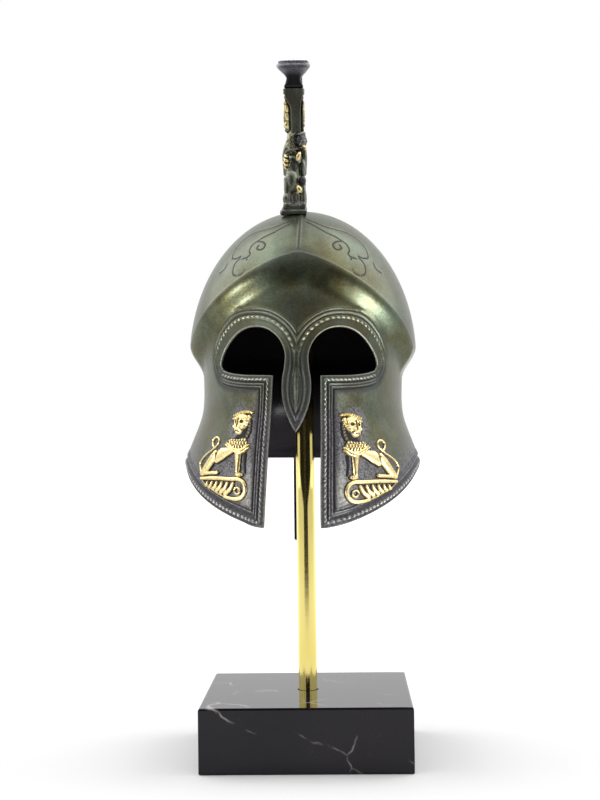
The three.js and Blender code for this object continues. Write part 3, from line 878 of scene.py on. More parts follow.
# The face opening is cut straight from the front, so its inner edge lies right behind its outer one.
turns = np.linspace(0, math.pi / 2, 300)
for k in range(corners[2] + 1):
    section = wall_point(turns, np.full(len(turns), edge[k, 1]), WALL)
    inner_points[k, 1] = np.interp(outer_points[k, 0], section[:, 0], section[:, 1])
    inner_points[k, 0] = outer_points[k, 0]
rim_outer, rim_inner = outer_points[: len(edge)], inner_points[: len(edge)]
BAND_SHARES = (0.12, 0.5, 0.88)
band = np.vstack([rim_outer + (rim_inner - rim_outer) * share for share in BAND_SHARES])
first_band = len(outer_points) + len(inner_points)
level_starts = [0, *(first_band + k * len(edge) for k in range(len(BAND_SHARES))), len(outer_points)]
levels = [start + np.arange(len(edge)) for start in level_starts]
band_faces = []
for upper, lower in zip(levels[:-1], levels[1:]):
    band_faces.append(np.stack([lower[:-1], lower[1:], upper[1:]], axis=1))
    band_faces.append(np.stack([lower[:-1], upper[1:], upper[:-1]], axis=1))
half_points = np.vstack([outer_points, inner_points, band])
half_faces = np.vstack([outer_faces, inner_faces, *band_faces])


def mirrored(points, faces, fields):
    """Adds the mirror image of a right half. Points of the median plane are shared."""
    middle = np.abs(points[:, 0]) < 1e-6
    points[middle, 0] = 0
    twin = np.arange(len(points))
    twin[~middle] = len(points) + np.arange(np.count_nonzero(~middle))
    both = np.vstack([points, points[~middle] * (-1, 1, 1)])
    return (
        both,
        np.vstack([faces, twin[faces][:, ::-1]]),
        {name: np.concatenate([values, values[~middle]]) for name, values in fields.items()},
    )


def solid_piece(name, points, faces, fields, material, place=CASTING_PLACE):
    """A piece of the helmet from points in its own millimetres, faces, and point fields from 0 to 1."""
    mesh = bpy.data.meshes.new(name)
    turn, shift = np.array(place.to_3x3()), np.array(place.translation)
    placed = np.asarray(points, float) * MM @ turn.T + shift
    mesh.vertices.add(len(placed))
    mesh.vertices.foreach_set("co", placed.astype(np.float32).ravel())
    faces = np.asarray(faces, np.int32)
    mesh.loops.add(faces.size)
    mesh.polygons.add(len(faces))
    mesh.polygons.foreach_set("loop_start", np.arange(0, faces.size, faces.shape[1], dtype=np.int32))
    mesh.loops.foreach_set("vertex_index", faces.ravel())
    mesh.update(calc_edges=True)
    for name_of_field in ("rub_and_sheen", "dirt_and_shade", "soot", "inside"):
        field = mesh.attributes.new(name_of_field, "FLOAT", "POINT")
        values = fields.get(name_of_field, np.zeros(len(placed)))
        field.data.foreach_set("value", np.asarray(values, np.float32))
    mesh.validate()
    mesh.shade_smooth()
    mesh.materials.append(material)
    piece = bpy.data.objects.new(name, mesh)
    scene.collection.objects.link(piece)
    return piece


face_x, face_z = face_flat.T
near_edge = face_offset < 7.6
zone_height = np.where(near_edge, face_height, 0)
zone_height = np.where((face_offset < 2.5) & (face_height < 0) & (face_z > 123), 0, zone_height)
ridge_drop = below_brow(face_flat)
on_leaf = (face_x < 1.4) & (np.abs(face_z - LEAF_Z) < 11)
# Painted highlight: the crests of the edge mouldings are lightened toward grey metal, as if catching the
# light, and less so on the nose guard's leaf. The edge's lip and the ridge are rubbed.
moulding_sheen = np.where(face_z > 121, 0.22, np.where(face_offset < 2.2, 0.36, 0.26)) - 0.2 * on_leaf
# A painted reflection of the bright floor: a pale patch on the lower front of each cheek guard, beside its
# border, given as rub.
toe_floor_reflection = smooth(4.6, 5.2, face_offset) * (1 - smooth(6.0, 10.0, face_offset)) * (1 - smooth(86, 96, face_z))
face_rub_and_sheen = np.maximum.reduce([
    moulding_sheen * smooth(0.16, 0.38, zone_height),
    0.3 * (1 - smooth(0.0, 0.5, face_offset)),
    0.18 * toe_floor_reflection * (face_x < 20),
    0.1 * (1 - smooth(0.0, 0.5, ridge_drop)),
])
in_grooves = np.clip(-zone_height / 0.16, 0, 1) * near_edge
between_ropes = near_edge * (1 - smooth(4.6, 6.5, face_offset)) * (1 - smooth(0.02, 0.26, zone_height))
brow_patch = (1 - smooth(2.0, 15.0, face_x)) * smooth(133, 139, face_z) * (1 - smooth(142, 149, face_z))
# Painted shade: the face just under the ridge's peak, and the nose guard outside its raised parts, are
# darkened like dirt for the dark that they reflect from the front.
under_peak_shade = (1 - smooth(6.0, 16.0, face_x)) * (1 - smooth(0.5, 5.0, ridge_drop))
nose_shade = (1 - smooth(5.0, 7.0, face_x)) * (1 - smooth(124, 134, face_z)) * (zone_height < 0.28)
# Dirt in the grooves and on the brow, and the painted shade under the peak and on the nose guard.
face_dirt_and_shade = np.maximum.reduce([
    in_grooves,
    np.where(face_z > 123, 0.4, 0.72) * between_ropes,
    0.4 * brow_patch,
    0.5 * under_peak_shade,
    0.75 * nose_shade,
])
cheek_soot = (1 - smooth(3.0, 17.0, face_offset)) * (1 - smooth(105, 118, face_z))
border_soot = (0.45 - 0.3 * smooth(116, 126, face_z)) * (1 - smooth(4.5, 8.5, face_offset))
round_lion = [  # soot gathers round the lion relief
    0.85 * (1 - smooth(0.6, 1.4, np.linalg.norm((face_flat - middle) / radii, axis=1)))
    for middle, radii in (((20, 104.5), (5.5, 7)), ((25, 93), (12.5, 7.5)), ((23, 85), (14, 5.5)))
]
face_soot = np.clip(np.maximum.reduce([cheek_soot, border_soot, *round_lion]), 0, 1)
dome_rub = 0.1 * (1 - smooth(0.0, 0.5, above_brow))
peak_stain = (1 - smooth(1.5, 9.0, dome_layout[:, 0])) * (1 - smooth(0.0, 4.5, above_brow))
dome_dirt = np.maximum.reduce([chased, 0.75 * on_keel, 0.55 * peak_stain])
dome_soot = np.zeros(len(dome_layout))


def half_field(on_face, on_dome, on_inner, on_band):
    """A field of the right half: the face wall, the dome above the ridge, the inner skin, the edge's rows."""
    by_row = np.repeat(on_band, len(edge))
    return np.concatenate([on_face, on_dome[RIDGE_COUNT + 1 :], np.full(len(inner_points), on_inner), by_row])


# The inside field, near black, is partly dark patina and partly painted shade of the hollow; the edge's rows
# grade into it.
half_fields = {
    "rub_and_sheen": half_field(face_rub_and_sheen, dome_rub, 0.0, (0.2, 0.1, 0.0)),
    "dirt_and_shade": half_field(face_dirt_and_shade, dome_dirt, 0.0, (0.0, 0.0, 0.0)),
    "soot": half_field(face_soot, dome_soot, 1.0, (1.0, 1.0, 1.0)),
    "inside": half_field(0 * face_soot, dome_soot, 1.0, (0.0, 0.5, 1.0)),
}
shell_points, shell_faces, shell_fields = mirrored(half_points, half_faces, half_fields)
# The gap between the cheek guards is cast slightly askew, more towards its foot.
EYE_FOOT_Z, GAP_SHIFT = 122, 0.85
from_median, shell_z = np.abs(shell_points[:, 0]), shell_points[:, 2]
by_gap = smooth(5.0, 6.5, from_median) * (1 - smooth(10.5, 16.5, from_median)) * (shell_points[:, 1] < 0)
shell_points[:, 0] -= GAP_SHIFT * by_gap * (1 - smooth(74, EYE_FOOT_Z, shell_z)) * (shell_z < EYE_FOOT_Z)


# Cast bronze under a patina: cloudy greens and olive browns with a fine speckle, black in the recesses
# and where shade is painted, and rubbed to bare metal, or lightened as a painted highlight, on what stands
# out. Every bronze piece uses it with its own colours.
group, inlet, outlet = node_group(
    "patinated_bronze",
    [
        ("Green", "NodeSocketColor", (0.2, 0.23, 0.17, 1)),
        ("Olive", "NodeSocketColor", (0.12, 0.12, 0.07, 1)),
        ("Black", "NodeSocketColor", (0.02, 0.02, 0.022, 1)),
        ("Ash", "NodeSocketColor", (0.19, 0.18, 0.195, 1)),
        ("Metal", "NodeSocketColor", (0.8, 0.62, 0.3, 1)),
        ("Rub_and_sheen", "NodeSocketFloat", 0.0),
        ("Dirt_and_shade", "NodeSocketFloat", 0.0),
        ("Soot", "NodeSocketFloat", 0.0),
        ("Smoothness", "NodeSocketFloat", 0.5),
    ],
    [
        ("Color", "NodeSocketColor"),
        ("Roughness", "NodeSocketFloat"),
        ("Metallic", "NodeSocketFloat"),
        ("Height", "NodeSocketFloat"),
    ],
)
place = add(group, "ShaderNodeTexCoord").outputs["Object"]
cloud = add(group, "ShaderNodeTexNoise", Vector=place, Scale=52.0, Detail=6.0, Roughness=0.62, Distortion=0.4)
blotch = add(group, "ShaderNodeTexNoise", Vector=place, Scale=210.0, Detail=5.0, Roughness=0.65)
speckle = add(group, "ShaderNodeTexNoise", Vector=place, Scale=1500.0, Detail=3.0, Roughness=0.6)
pits = add(group, "ShaderNodeTexVoronoi", Vector=place, Scale=900.0)
cloud_mask = ramp(group, cloud.outputs["Fac"], [(0.38, 0.0), (0.62, 1.0)])
colour = mix(group, cloud_mask, inlet.outputs["Green"], inlet.outputs["Olive"])
dark_blotch = ramp(group, blotch.outputs["Fac"], [(0.3, (0.55, 0.55, 0.55)), (0.6, (1.0, 1.0, 1.0))])
colour = mix(group, 0.6, colour, dark_blotch, "MULTIPLY")
grain = ramp(group, speckle.outputs["Fac"], [(0.3, (0.72, 0.72, 0.72)), (0.7, (1.22, 1.22, 1.22))])
colour = mix(group, 0.75, colour, grain, "MULTIPLY")
blotch_swing = maths(group, "SUBTRACT", blotch.outputs["Fac"], 0.5)
soot_edge = maths(group, "ADD", inlet.outputs["Soot"], maths(group, "MULTIPLY", blotch_swing, 0.7))
soot = maths(group, "MULTIPLY", maths(group, "MULTIPLY", soot_edge, inlet.outputs["Soot"]), 1.2, True)
ash_mask = ramp(group, speckle.outputs["Fac"], [(0.35, 0.0), (0.62, 1.0)])
sooty = mix(group, ash_mask, (0.035, 0.033, 0.038), inlet.outputs["Ash"])
colour = mix(group, soot, colour, sooty)
colour = mix(group, inlet.outputs["Dirt_and_shade"], colour, inlet.outputs["Black"])
break_up = ramp(group, speckle.outputs["Fac"], [(0.36, 0.6), (0.55, 1.0)])
rub_and_sheen = maths(group, "MULTIPLY", inlet.outputs["Rub_and_sheen"], break_up, True)
colour = mix(group, rub_and_sheen, colour, inlet.outputs["Metal"])
rough = maths(group, "SUBTRACT", 0.6, maths(group, "MULTIPLY", inlet.outputs["Smoothness"], 0.45))
rough = maths(group, "ADD", rough, maths(group, "MULTIPLY", blotch_swing, 0.22))
rough = maths(group, "ADD", rough, maths(group, "MULTIPLY", soot, 0.12))
rough = maths(group, "ADD", rough, maths(group, "MULTIPLY", inlet.outputs["Dirt_and_shade"], 0.3))
rough = maths(group, "SUBTRACT", rough, maths(group, "MULTIPLY", rub_and_sheen, 0.08), True)
metal = maths(group, "SUBTRACT", 0.95, maths(group, "MULTIPLY", inlet.outputs["Dirt_and_shade"], 0.15))
metal = maths(group, "SUBTRACT", metal, maths(group, "MULTIPLY", soot, 0.1))
metal = maths(group, "ADD", metal, maths(group, "MULTIPLY", rub_and_sheen, 0.5), True)
height = maths(group, "ADD", speckle.outputs["Fac"], maths(group, "MULTIPLY", blotch.outputs["Fac"], 1.5))
pit = ramp(group, pits.outputs["Distance"], [(0.0, 0.0), (0.22, 1.0)])
height = maths(group, "ADD", height, maths(group, "MULTIPLY", pit, maths(group, "ADD", 0.15, soot)))
for name, value in (("Color", colour), ("Roughness", rough), ("Metallic", metal), ("Height", height)):
    group.links.new(value, outlet.inputs[name])


def bronze(name, bump_strength, **values):
    """A bronze finish. Its masks come from the point fields of rub, dirt, soot and inside; the rub and dirt
    fields also carry painted highlights and painted shade.
    """
    material, tree, shader = new_material(name)
    finish = tree.nodes.new("ShaderNodeGroup")
    finish.node_tree = group
    for socket, value in values.items():
        finish.inputs[socket].default_value = (*value, 1) if isinstance(value, tuple) else value
    for mask in ("Rub_and_sheen", "Dirt_and_shade", "Soot"):
        field = add(tree, "ShaderNodeAttribute", {"attribute_name": mask.lower()})
        tree.links.new(field.outputs["Fac"], finish.inputs[mask])
    # The inside is mixed to near black and made rougher: partly its dark patina, partly painted shade of the
    # hollow.
    inside = add(tree, "ShaderNodeAttribute", {"attribute_name": "inside"})
    shade = mix(tree, inside.outputs["Fac"], finish.outputs["Color"], (0.012, 0.01, 0.013))
    tree.links.new(shade, shader.inputs["Base Color"])
    rougher = maths(tree, "MULTIPLY", inside.outputs["Fac"], 0.3)
    rough = maths(tree, "ADD", finish.outputs["Roughness"], rougher, True)
    tree.links.new(rough, shader.inputs["Roughness"])
    tree.links.new(finish.outputs["Metallic"], shader.inputs["Metallic"])
    shader.inputs["Coat Weight"].default_value = 0.15
    shader.inputs["Coat Roughness"].default_value = 0.2
    height = finish.outputs["Height"]
    bump = add(tree, "ShaderNodeBump", Strength=bump_strength, Distance=0.0004, Height=height)
    tree.links.new(bump.outputs[0], shader.inputs["Normal"])
    return material


shell_bronze = bronze(
    "shell_bronze", 0.12, Smoothness=0.55,
    Green=(0.1, 0.124, 0.085), Olive=(0.08, 0.076, 0.034), Metal=(0.6, 0.6, 0.5),
)
shell = solid_piece("helmet_casting", shell_points, shell_faces, shell_fields, shell_bronze)
glint_takers.objects.link(shell)
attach(shell, "root")
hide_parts("helmet_shell")


# ---------------------------------------------------------------- rod socket
# A turned bronze cup under the crown, soldered to the inside of the dome. The end of the rod stands
# in its bore, and it takes the near black of the rest of the inside, partly dark patina and partly painted
# shade.
SOCKET_RADIUS, BORE_RADIUS = 6, 3.4
SOCKET_MOUTH, BORE_END, SOCKET_TOP = 160, 170.5, 171.6
socket_profile = [
    (0, BORE_END), (BORE_RADIUS, BORE_END), (BORE_RADIUS, SOCKET_MOUTH),
    (SOCKET_RADIUS, SOCKET_MOUTH), (SOCKET_RADIUS, SOCKET_TOP), (0, SOCKET_TOP),
]
rod_socket = lathe("rod_socket", [(r * MM, z * MM) for r, z in socket_profile], 64)
rod_socket.data.materials.append(shell_bronze)
all_inside = rod_socket.data.attributes.new("inside", "FLOAT", "POINT")
all_inside.data.foreach_set("value", np.ones(len(rod_socket.data.vertices), np.float32))
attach(rod_socket, "root")


# ---------------------------------------------------------------- lion reliefs
# One seated lion on a scroll on each cheek guard. It is cast separately in low relief, soldered on, and
# its high parts are rubbed bright while soot stays between them. The left one mirrors the right one.
LION_STEP = 0.15
GRID_LOW, GRID_HIGH = (12.2, 80.4), (41.6, 110.6)
across = np.arange(GRID_LOW[0], GRID_HIGH[0], LION_STEP)
upward = np.arange(GRID_LOW[1], GRID_HIGH[1], LION_STEP)
lion_net = np.stack(np.meshgrid(across, upward), axis=-1).reshape(-1, 2)
cast_narrower = 0.3 + 0.04 * (lion_net[:, 0] - 15)  # the relief is cast 4% narrower than it is drawn
grid = lion_net + np.column_stack([cast_narrower, 0 * lion_net[:, 1]])


def swelling(share, radius, height):
    """Round relief up to a share of 1 of its radius, and a steep fall outside it."""
    return np.where(share < 1, height * np.sqrt(1 - np.minimum(share, 1) ** 2), (1 - share) * radius * 2.5)


def limb(points, path, height):
    """Relief of a round limb along (across, up, radius) points. It falls away steeply outside."""
    path = np.array(path, float)
    best = np.full(len(points), -9.0)
    for a, b in zip(path[:-1], path[1:]):
        step = b[:2] - a[:2]
        t = np.clip((points - a[:2]) @ step / (step @ step), 0, 1)
        radius = a[2] + (b[2] - a[2]) * t
        share = np.linalg.norm(points - a[:2] - t[:, None] * step, axis=1) / radius
        best = np.maximum(best, swelling(share, radius, height))
    return best


def mound(points, centre, radii, height, turn=0.0):
    """Relief of an elliptical swelling."""
    c, s = math.cos(turn), math.sin(turn)
    away = (points - centre) @ np.array([[c, -s], [s, c]]) / radii
    return swelling(np.linalg.norm(away, axis=1), min(radii), height)


def line_cut(points, path, width, depth):
    """Depth of a line engraved along a path."""
    return depth * (1 - smooth(0.3 * width, width, nearest_on(route(path, 0.15), points)[0]))


def with_radii(path, *radii):
    """A smooth path as limb points, its radius changing evenly through the given ones."""
    smoothed = route(path, 0.35)
    radius = np.interp(np.linspace(0, 1, len(smoothed)), np.linspace(0, 1, len(radii)), radii)
    return np.column_stack([smoothed, radius])


TAIL = [
    (38.2, 89.2), (39.3, 90.5), (40.0, 92.3), (38.6, 93.9), (36.1, 95.3), (33.0, 96.6), (31.0, 97.6),
    (29.7, 98.7), (29.5, 99.6), (30.6, 100.4), (32.2, 100.3), (33.3, 99.5), (33.1, 98.3), (32.2, 97.5),
]
BAR_AND_VOLUTE = [
    (38.1, 87.9), (33.2, 88.1), (27.4, 88.2), (22.4, 88.1), (18.9, 88.1), (17.1, 87.3), (16.3, 85.9),
    (16.5, 84.2), (17.7, 82.8), (19.6, 82.3), (21.9, 82.4), (24.7, 82.8),
]
EYE_RING = [(19.3, 85.7), (18.2, 85.1), (18.4, 84.1), (19.4, 83.8), (20.3, 84.4), (20.2, 85.4), (19.3, 85.7)]
BAND = [(15.4, 97.4), (17.6, 96.1), (19.9, 96.0), (22.3, 96.8), (25.1, 98.3)]
UPPER_BAND = [(15.4, 98.3), (17.4, 97.1), (19.9, 96.8), (22.4, 97.6), (24.4, 98.7)]
tail = limb(grid, with_radii(TAIL, 0.4, 0.3, 0.28, 0.36, 0.42), 0.55)
chest_bands = [
    limb(grid, with_radii(BAND, 0.3, 0.42, 0.42, 0.42, 0.3), 1.15),
    limb(grid, with_radii(UPPER_BAND, 0.3, 0.38, 0.38, 0.38, 0.3), 1.2),
]
HAUNCH = [(30.2, 95.4, 1.3), (32.0, 93.8, 1.65), (33.8, 92.2, 1.6), (35.7, 90.5, 1.4), (37.3, 89.5, 1.0)]
parts = [
    limb(grid, [(22.4, 96.6, 1.1), (24.6, 96.2, 1.6), (27.0, 95.5, 2.15), (29.5, 94.3, 1.9)], 1.0),  # body
    limb(grid, HAUNCH, 1.3),
    limb(grid, [(37.6, 89.3, 0.7), (33.3, 89.6, 0.6), (29.6, 89.8, 0.7)], 0.8),  # hind foot
    mound(grid, (29.0, 89.9), (1.0, 0.7), 0.95),  # hind paw
    limb(grid, [(19.5, 96.0, 1.6), (19.4, 92.8, 1.05), (19.4, 90.4, 0.85)], 1.15),  # foreleg
    mound(grid, (18.8, 89.5), (1.9, 0.75), 1.0),  # forepaw
    limb(grid, [(16.7, 95.6, 0.7), (16.9, 92.8, 0.5), (16.6, 90.3, 0.45)], 0.4),  # far foreleg
    limb(grid, [(18.6, 102.2, 2.0), (19.2, 99.4, 2.6)], 0.35),  # neck
    limb(grid, [(17.4, 98.9, 1.7), (20.0, 98.3, 1.9), (23.0, 99.0, 1.3)], 1.0),  # shoulders
    mound(grid, (19.1, 105.2), (3.7, 2.75), 1.2, -0.1),  # head
    mound(grid, (20.0, 103.1), (2.2, 1.95), 1.4),  # muzzle
    limb(grid, [(19.7, 106.3, 0.4), (20.3, 103.3, 0.7)], 1.65),  # nose
    mound(grid, (17.8, 103.8), (1.1, 0.85), 1.4),  # cheeks
    mound(grid, (21.7, 103.7), (0.8, 0.75), 1.4),
    limb(grid, [(16.8, 106.2, 0.35), (18.7, 106.3, 0.42)], 1.5),  # brows
    limb(grid, [(20.6, 106.2, 0.4), (22.1, 105.9, 0.35)], 1.5),
    mound(grid, (15.5, 106.7), (0.9, 0.6), 1.15, 0.5),  # ear
    mound(grid, (15.6, 105.7), (0.8, 0.5), 1.05, 0.7),
    limb(grid, [(15.2, 105.2, 0.8), (15.6, 102.6, 1.1), (16.4, 100.9, 0.9)], 0.5),  # mane beside the face
    limb(grid, [(22.9, 106.0, 0.5), (22.9, 104.2, 0.5), (22.1, 102.4, 0.5)], 0.45),
    limb(grid, with_radii(BAR_AND_VOLUTE, 0.55, 0.72, 0.72, 0.75, 0.8, 0.6), 0.9),
    limb(grid, with_radii(EYE_RING, 0.38, 0.38), 0.85),
    tail,
    *chest_bands,
]
for k in range(9):  # curls of the fringe
    share = k / 8
    lift = math.sin(math.pi * (0.25 + 0.7 * share))
    parts.append(mound(grid, (14.6 + 7.3 * share, 107.2 + 1.1 * lift - 0.55 * share), (0.41, 0.6), 1.35))
for k in range(6):  # fronds under the bar, from the volute out to the tail
    drop = 3.3 - 0.46 * k
    base = (21.0 + 2.5 * k, 86.9)
    bend = (base[0] + 0.4 * drop, base[1] - 0.55 * drop)
    tip = (base[0] + 1.05 * drop, base[1] - drop)
    width = 0.82 * min(1, 0.55 + 0.2 * drop)
    parts.append(limb(grid, with_radii([base, bend, tip], 0.6 * width, width, width), 1.0))
UNDER_FRONDS = [(24.7, 82.8), (28.0, 83.7), (31.2, 84.8), (34.4, 85.8), (37.4, 87.3)]
parts.append(limb(grid, with_radii(UNDER_FRONDS, 0.5, 0.3), 0.6))
relief = np.max(parts, axis=0)
cuts = [
    line_cut(grid, [(19.2, 102.2), (20.4, 102.4), (21.4, 102.1)], 0.22, 0.5),  # mouth
    line_cut(grid, [(29.2, 96.4), (29.4, 95.0), (30.1, 93.4)], 0.3, 0.5),  # flank
    line_cut(grid, [(28.5, 90.3), (28.4, 89.5)], 0.16, 0.3),  # toes
    line_cut(grid, [(29.2, 90.3), (29.1, 89.5)], 0.16, 0.3),
    line_cut(grid, [(18.0, 89.9), (17.8, 89.0)], 0.16, 0.3),
    line_cut(grid, [(18.8, 89.9), (18.7, 89.0)], 0.16, 0.3),
]
for k in range(9):  # hatching of the collar
    start = (14.9 + 1.15 * k, 100.2)
    cuts.append(line_cut(grid, [start, (start[0] + 1.6, 97.4)], 0.2, 0.5))
    cuts.append(line_cut(grid, [(start[0] + 1.6, 100.2), (start[0], 97.4)], 0.2, 0.5))
on_bands = np.maximum(*chest_bands) > 0.3
for k in range(5):  # locks beside the face
    cuts.append(line_cut(grid, [(14.3, 105.2 - 1.0 * k), (16.4, 105.6 - 1.0 * k)], 0.16, 0.28))
for eye in ((18.4, 105.2), (21.1, 105.1)):
    away = np.linalg.norm((grid - eye) / (0.85, 0.6), axis=1)
    cuts.append(0.7 * (1 - smooth(0.4, 1.15, away)) - 0.3 * (1 - smooth(0.1, 0.45, away)))
cut = np.max(cuts, axis=0) * ~on_bands
grain = np.sin(grid[:, 0] * 5.3 + 2 * np.sin(grid[:, 1] * 2.9)) * np.sin(grid[:, 1] * 6.1 + 1.7)
relief = relief - np.where(relief > 0.1, cut, 0) + 0.02 * grain * (relief > 0)
LION_FOOT, LION_BACK = -0.3, -0.5  # the relief's lowest edge and its back, sunk into the cheek guard
relief = np.maximum(relief, LION_FOOT)
columns, rows_up = len(across), len(upward)
corner = (np.arange(rows_up - 1)[:, None] * columns + np.arange(columns - 1)).ravel()
cells = np.stack([corner, corner + 1, corner + columns + 1, corner + columns], axis=1)
cells = cells[np.max(relief[cells], axis=1) > LION_FOOT + 1e-6]
used = np.unique(cells)
renamed = np.full(len(lion_net), -1)
renamed[used] = np.arange(len(used))
cells = renamed[cells]
sides = np.vstack([np.stack([cells[:, k], cells[:, (k + 1) % 4]], axis=1) for k in range(4)])
code = sides[:, 0] * len(used) + sides[:, 1]
back_code = sides[:, 1] * len(used) + sides[:, 0]
open_sides = sides[~np.isin(code, back_code)]
lion_flat, lion_relief = lion_net[used], relief[used]
LIFT = (0.0, 0.7)  # the left lion sits a little higher
relief_bronze = bronze(
    "relief_bronze", 0.03, Smoothness=0.5,
    Green=(0.1, 0.09, 0.05), Olive=(0.08, 0.07, 0.03), Metal=(0.88, 0.71, 0.34),
)
high = np.maximum(smooth(0.4, 0.75, lion_relief), smooth(0.2, 0.45, tail[used]))
engraved = cut[used]
for name, side, lift in (("lion_right", 1, LIFT[0]), ("lion_left", -1, LIFT[1])):
    flat = lion_flat + (0, lift)
    front = face_surface(flat, lion_relief)
    back = face_surface(flat, np.full(len(flat), LION_BACK))
    count = len(flat)
    walls = np.hstack([open_sides[:, ::-1], open_sides + count])
    faces = np.vstack([cells, cells[:, ::-1] + count, walls])
    points = np.vstack([front, back])
    if side < 0:
        points, faces = points * (-1, 1, 1), faces[:, ::-1]
    masks = {
        "rub_and_sheen": np.concatenate([high * (1 - 0.85 * np.clip(engraved / 0.25, 0, 1)), np.zeros(count)]),
        "dirt_and_shade": np.concatenate([np.maximum(1 - high, np.clip(engraved / 0.3, 0, 1)), np.ones(count)]),
    }
    lion = solid_piece(name, points, faces, masks, relief_bronze)
    glint_takers.objects.link(lion)
    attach(lion, "root")


# ---------------------------------------------------------------- crest plume
# The horsehair plume, cast in bronze as one arched bar: a rounded outer edge, a waist and a rolled foot.
# Hair strands are engraved across it, and its front end flares into a fan.
crest_low, crest_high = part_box("crest_plume")
CREST_X, CREST_TURN = (crest_low[0] + crest_high[0]) / 2, 0.65  # metres and degrees
CREST_PLACE = Matrix.Translation((CREST_X, 0, 0)) @ Matrix.Rotation(math.radians(CREST_TURN), 4, "Z")
CREST_EDGE = [
    (-15, 219), (-4, 221), (9, 223.2), (22, 222), (35, 216.3), (47, 205.5),
    (57, 188), (62.8, 165), (64.5, 140), (63, 113), (60, 88), (56.5, 63.4),
]
PLUME_DEPTH = 8.0
crest_line = route(CREST_EDGE, 0.27)
crest_inward = -left_of(crest_line)
crest_along = np.concatenate([[0], np.cumsum(np.linalg.norm(np.diff(crest_line, axis=0), axis=1))])


def closed_band(line, inward, half_sections):
    """Points and quads of a bar along a line in the median plane. half_sections holds (side, depth)
    pairs of the right half of every section, from its outer to its inner middle."""
    stations, half = half_sections.shape[:2]
    ring = np.concatenate([half_sections, half_sections[:, -2:0:-1] * (-1, 1)], axis=1)
    median = line[:, None, :] + inward[:, None, :] * ring[:, :, 1:2]
    points = np.concatenate([ring[:, :, :1], median], axis=2)
    around = ring.shape[1]
    index = np.arange(stations * around).reshape(stations, around)
    turned = np.roll(index, -1, axis=1)
    quads = np.stack([index[:-1], turned[:-1], turned[1:], index[1:]], axis=-1).reshape(-1, 4)
    return points.reshape(-1, 3), quads, half, around


def left_of_ring(half, around):
    """Point numbers of a section's mirrored left half, in the order of its right half."""
    return np.concatenate([[0], np.arange(around - 1, half - 1, -1), [half - 1]])


def capped(half, around, ring_start):
    """Quads that close a bar's last section between its right half and its left half."""
    right = ring_start + np.arange(half)
    left = ring_start + left_of_ring(half, around)
    return np.stack([right[:-1], right[1:], left[1:], left[:-1]], axis=1)


def front_net(start, columns, right_ring, left_ring):
    """Point numbers of the net that closes a bar's first section, from its right half over new columns of
    points, which begin at a start number, to its left half."""
    rows = len(right_ring)
    right = start + np.arange(columns * rows).reshape(columns, rows)
    left = right[-1, -1] + 1 + np.arange((columns - 1) * rows).reshape(columns - 1, rows)
    return np.vstack([right_ring, right, left[::-1], left_ring])


def plume_half(flare):
    """The right half of the plume's section at a flare from 0 to 1, as 40 (side, depth) pairs."""
    edge, waist, foot = 2.4 + 2.95 * flare, 1.75 + 0.55 * flare, 2.4 + 0.65 * flare
    knots = [
        (0.01, -0.9 * flare), (0.5 * edge, -0.88 * flare), (edge - 0.5, 0.25 - 0.85 * flare),
        (edge, 1.0 - 0.5 * flare), (edge - 0.1, 1.8 - 0.3 * flare), (edge - 0.8, 2.6 - 0.3 * flare),
        (0.6 * waist + 0.4 * edge, 3.4 - 0.3 * flare), (waist, 4.8), (waist + 0.2, 5.9),
        (foot - 0.3, 6.8), (foot, 7.4), (foot - 0.2, 7.95), (0.01, PLUME_DEPTH),
    ]
    curve = route(knots, 0.1)
    return curve[np.linspace(0, len(curve) - 1, 40).astype(int)]


narrow, wide = plume_half(0.0), plume_half(1.0)
narrow[[0, -1], 0] = wide[[0, -1], 0] = 0
flare = 1 - smooth(0, 0.15 * crest_along[-1], crest_along)
sections = narrow + (wide - narrow) * flare[:, None, None]
tail_spread = 1 + 0.2 * smooth(0.72, 0.9, crest_along / crest_along[-1])
sections[:, :, 0] *= tail_spread[:, None]
depth = sections[:, :, 1]
STRAND = 1.25
station = crest_along[:, None]
waved = station + 0.25 * np.sin(depth * 0.9 + station * 0.31) + 0.3 * np.sin(station * 0.71)
strand = np.abs(np.sin(np.pi * waved / STRAND)) ** 0.55
strand *= 1 - 0.25 * (np.sin(np.pi * waved / STRAND / 3) ** 2)
hair = smooth(0.0, 0.5, depth + 0.4) * (1 - smooth(6.2, 6.7, depth))
sink = 0.34 * (1 - strand) * hair
seam = 0.3 * (1 - smooth(0.1, 0.4, sections[:, :, 0])) * (depth < 3)
outline_step = np.gradient(sections, axis=1)
outline_step /= np.maximum(np.linalg.norm(outline_step, axis=2, keepdims=True), 1e-9)
section_out = np.stack([outline_step[:, :, 1], -outline_step[:, :, 0]], axis=2)
section_out[:, 0], section_out[:, -1] = (0, -1), (0, 1)
carved = sections - section_out * (sink + seam)[:, :, None]
carved[:, [0, -1], 0] = 0
plume_points, plume_quads, half, around = closed_band(crest_line, crest_inward, carved)

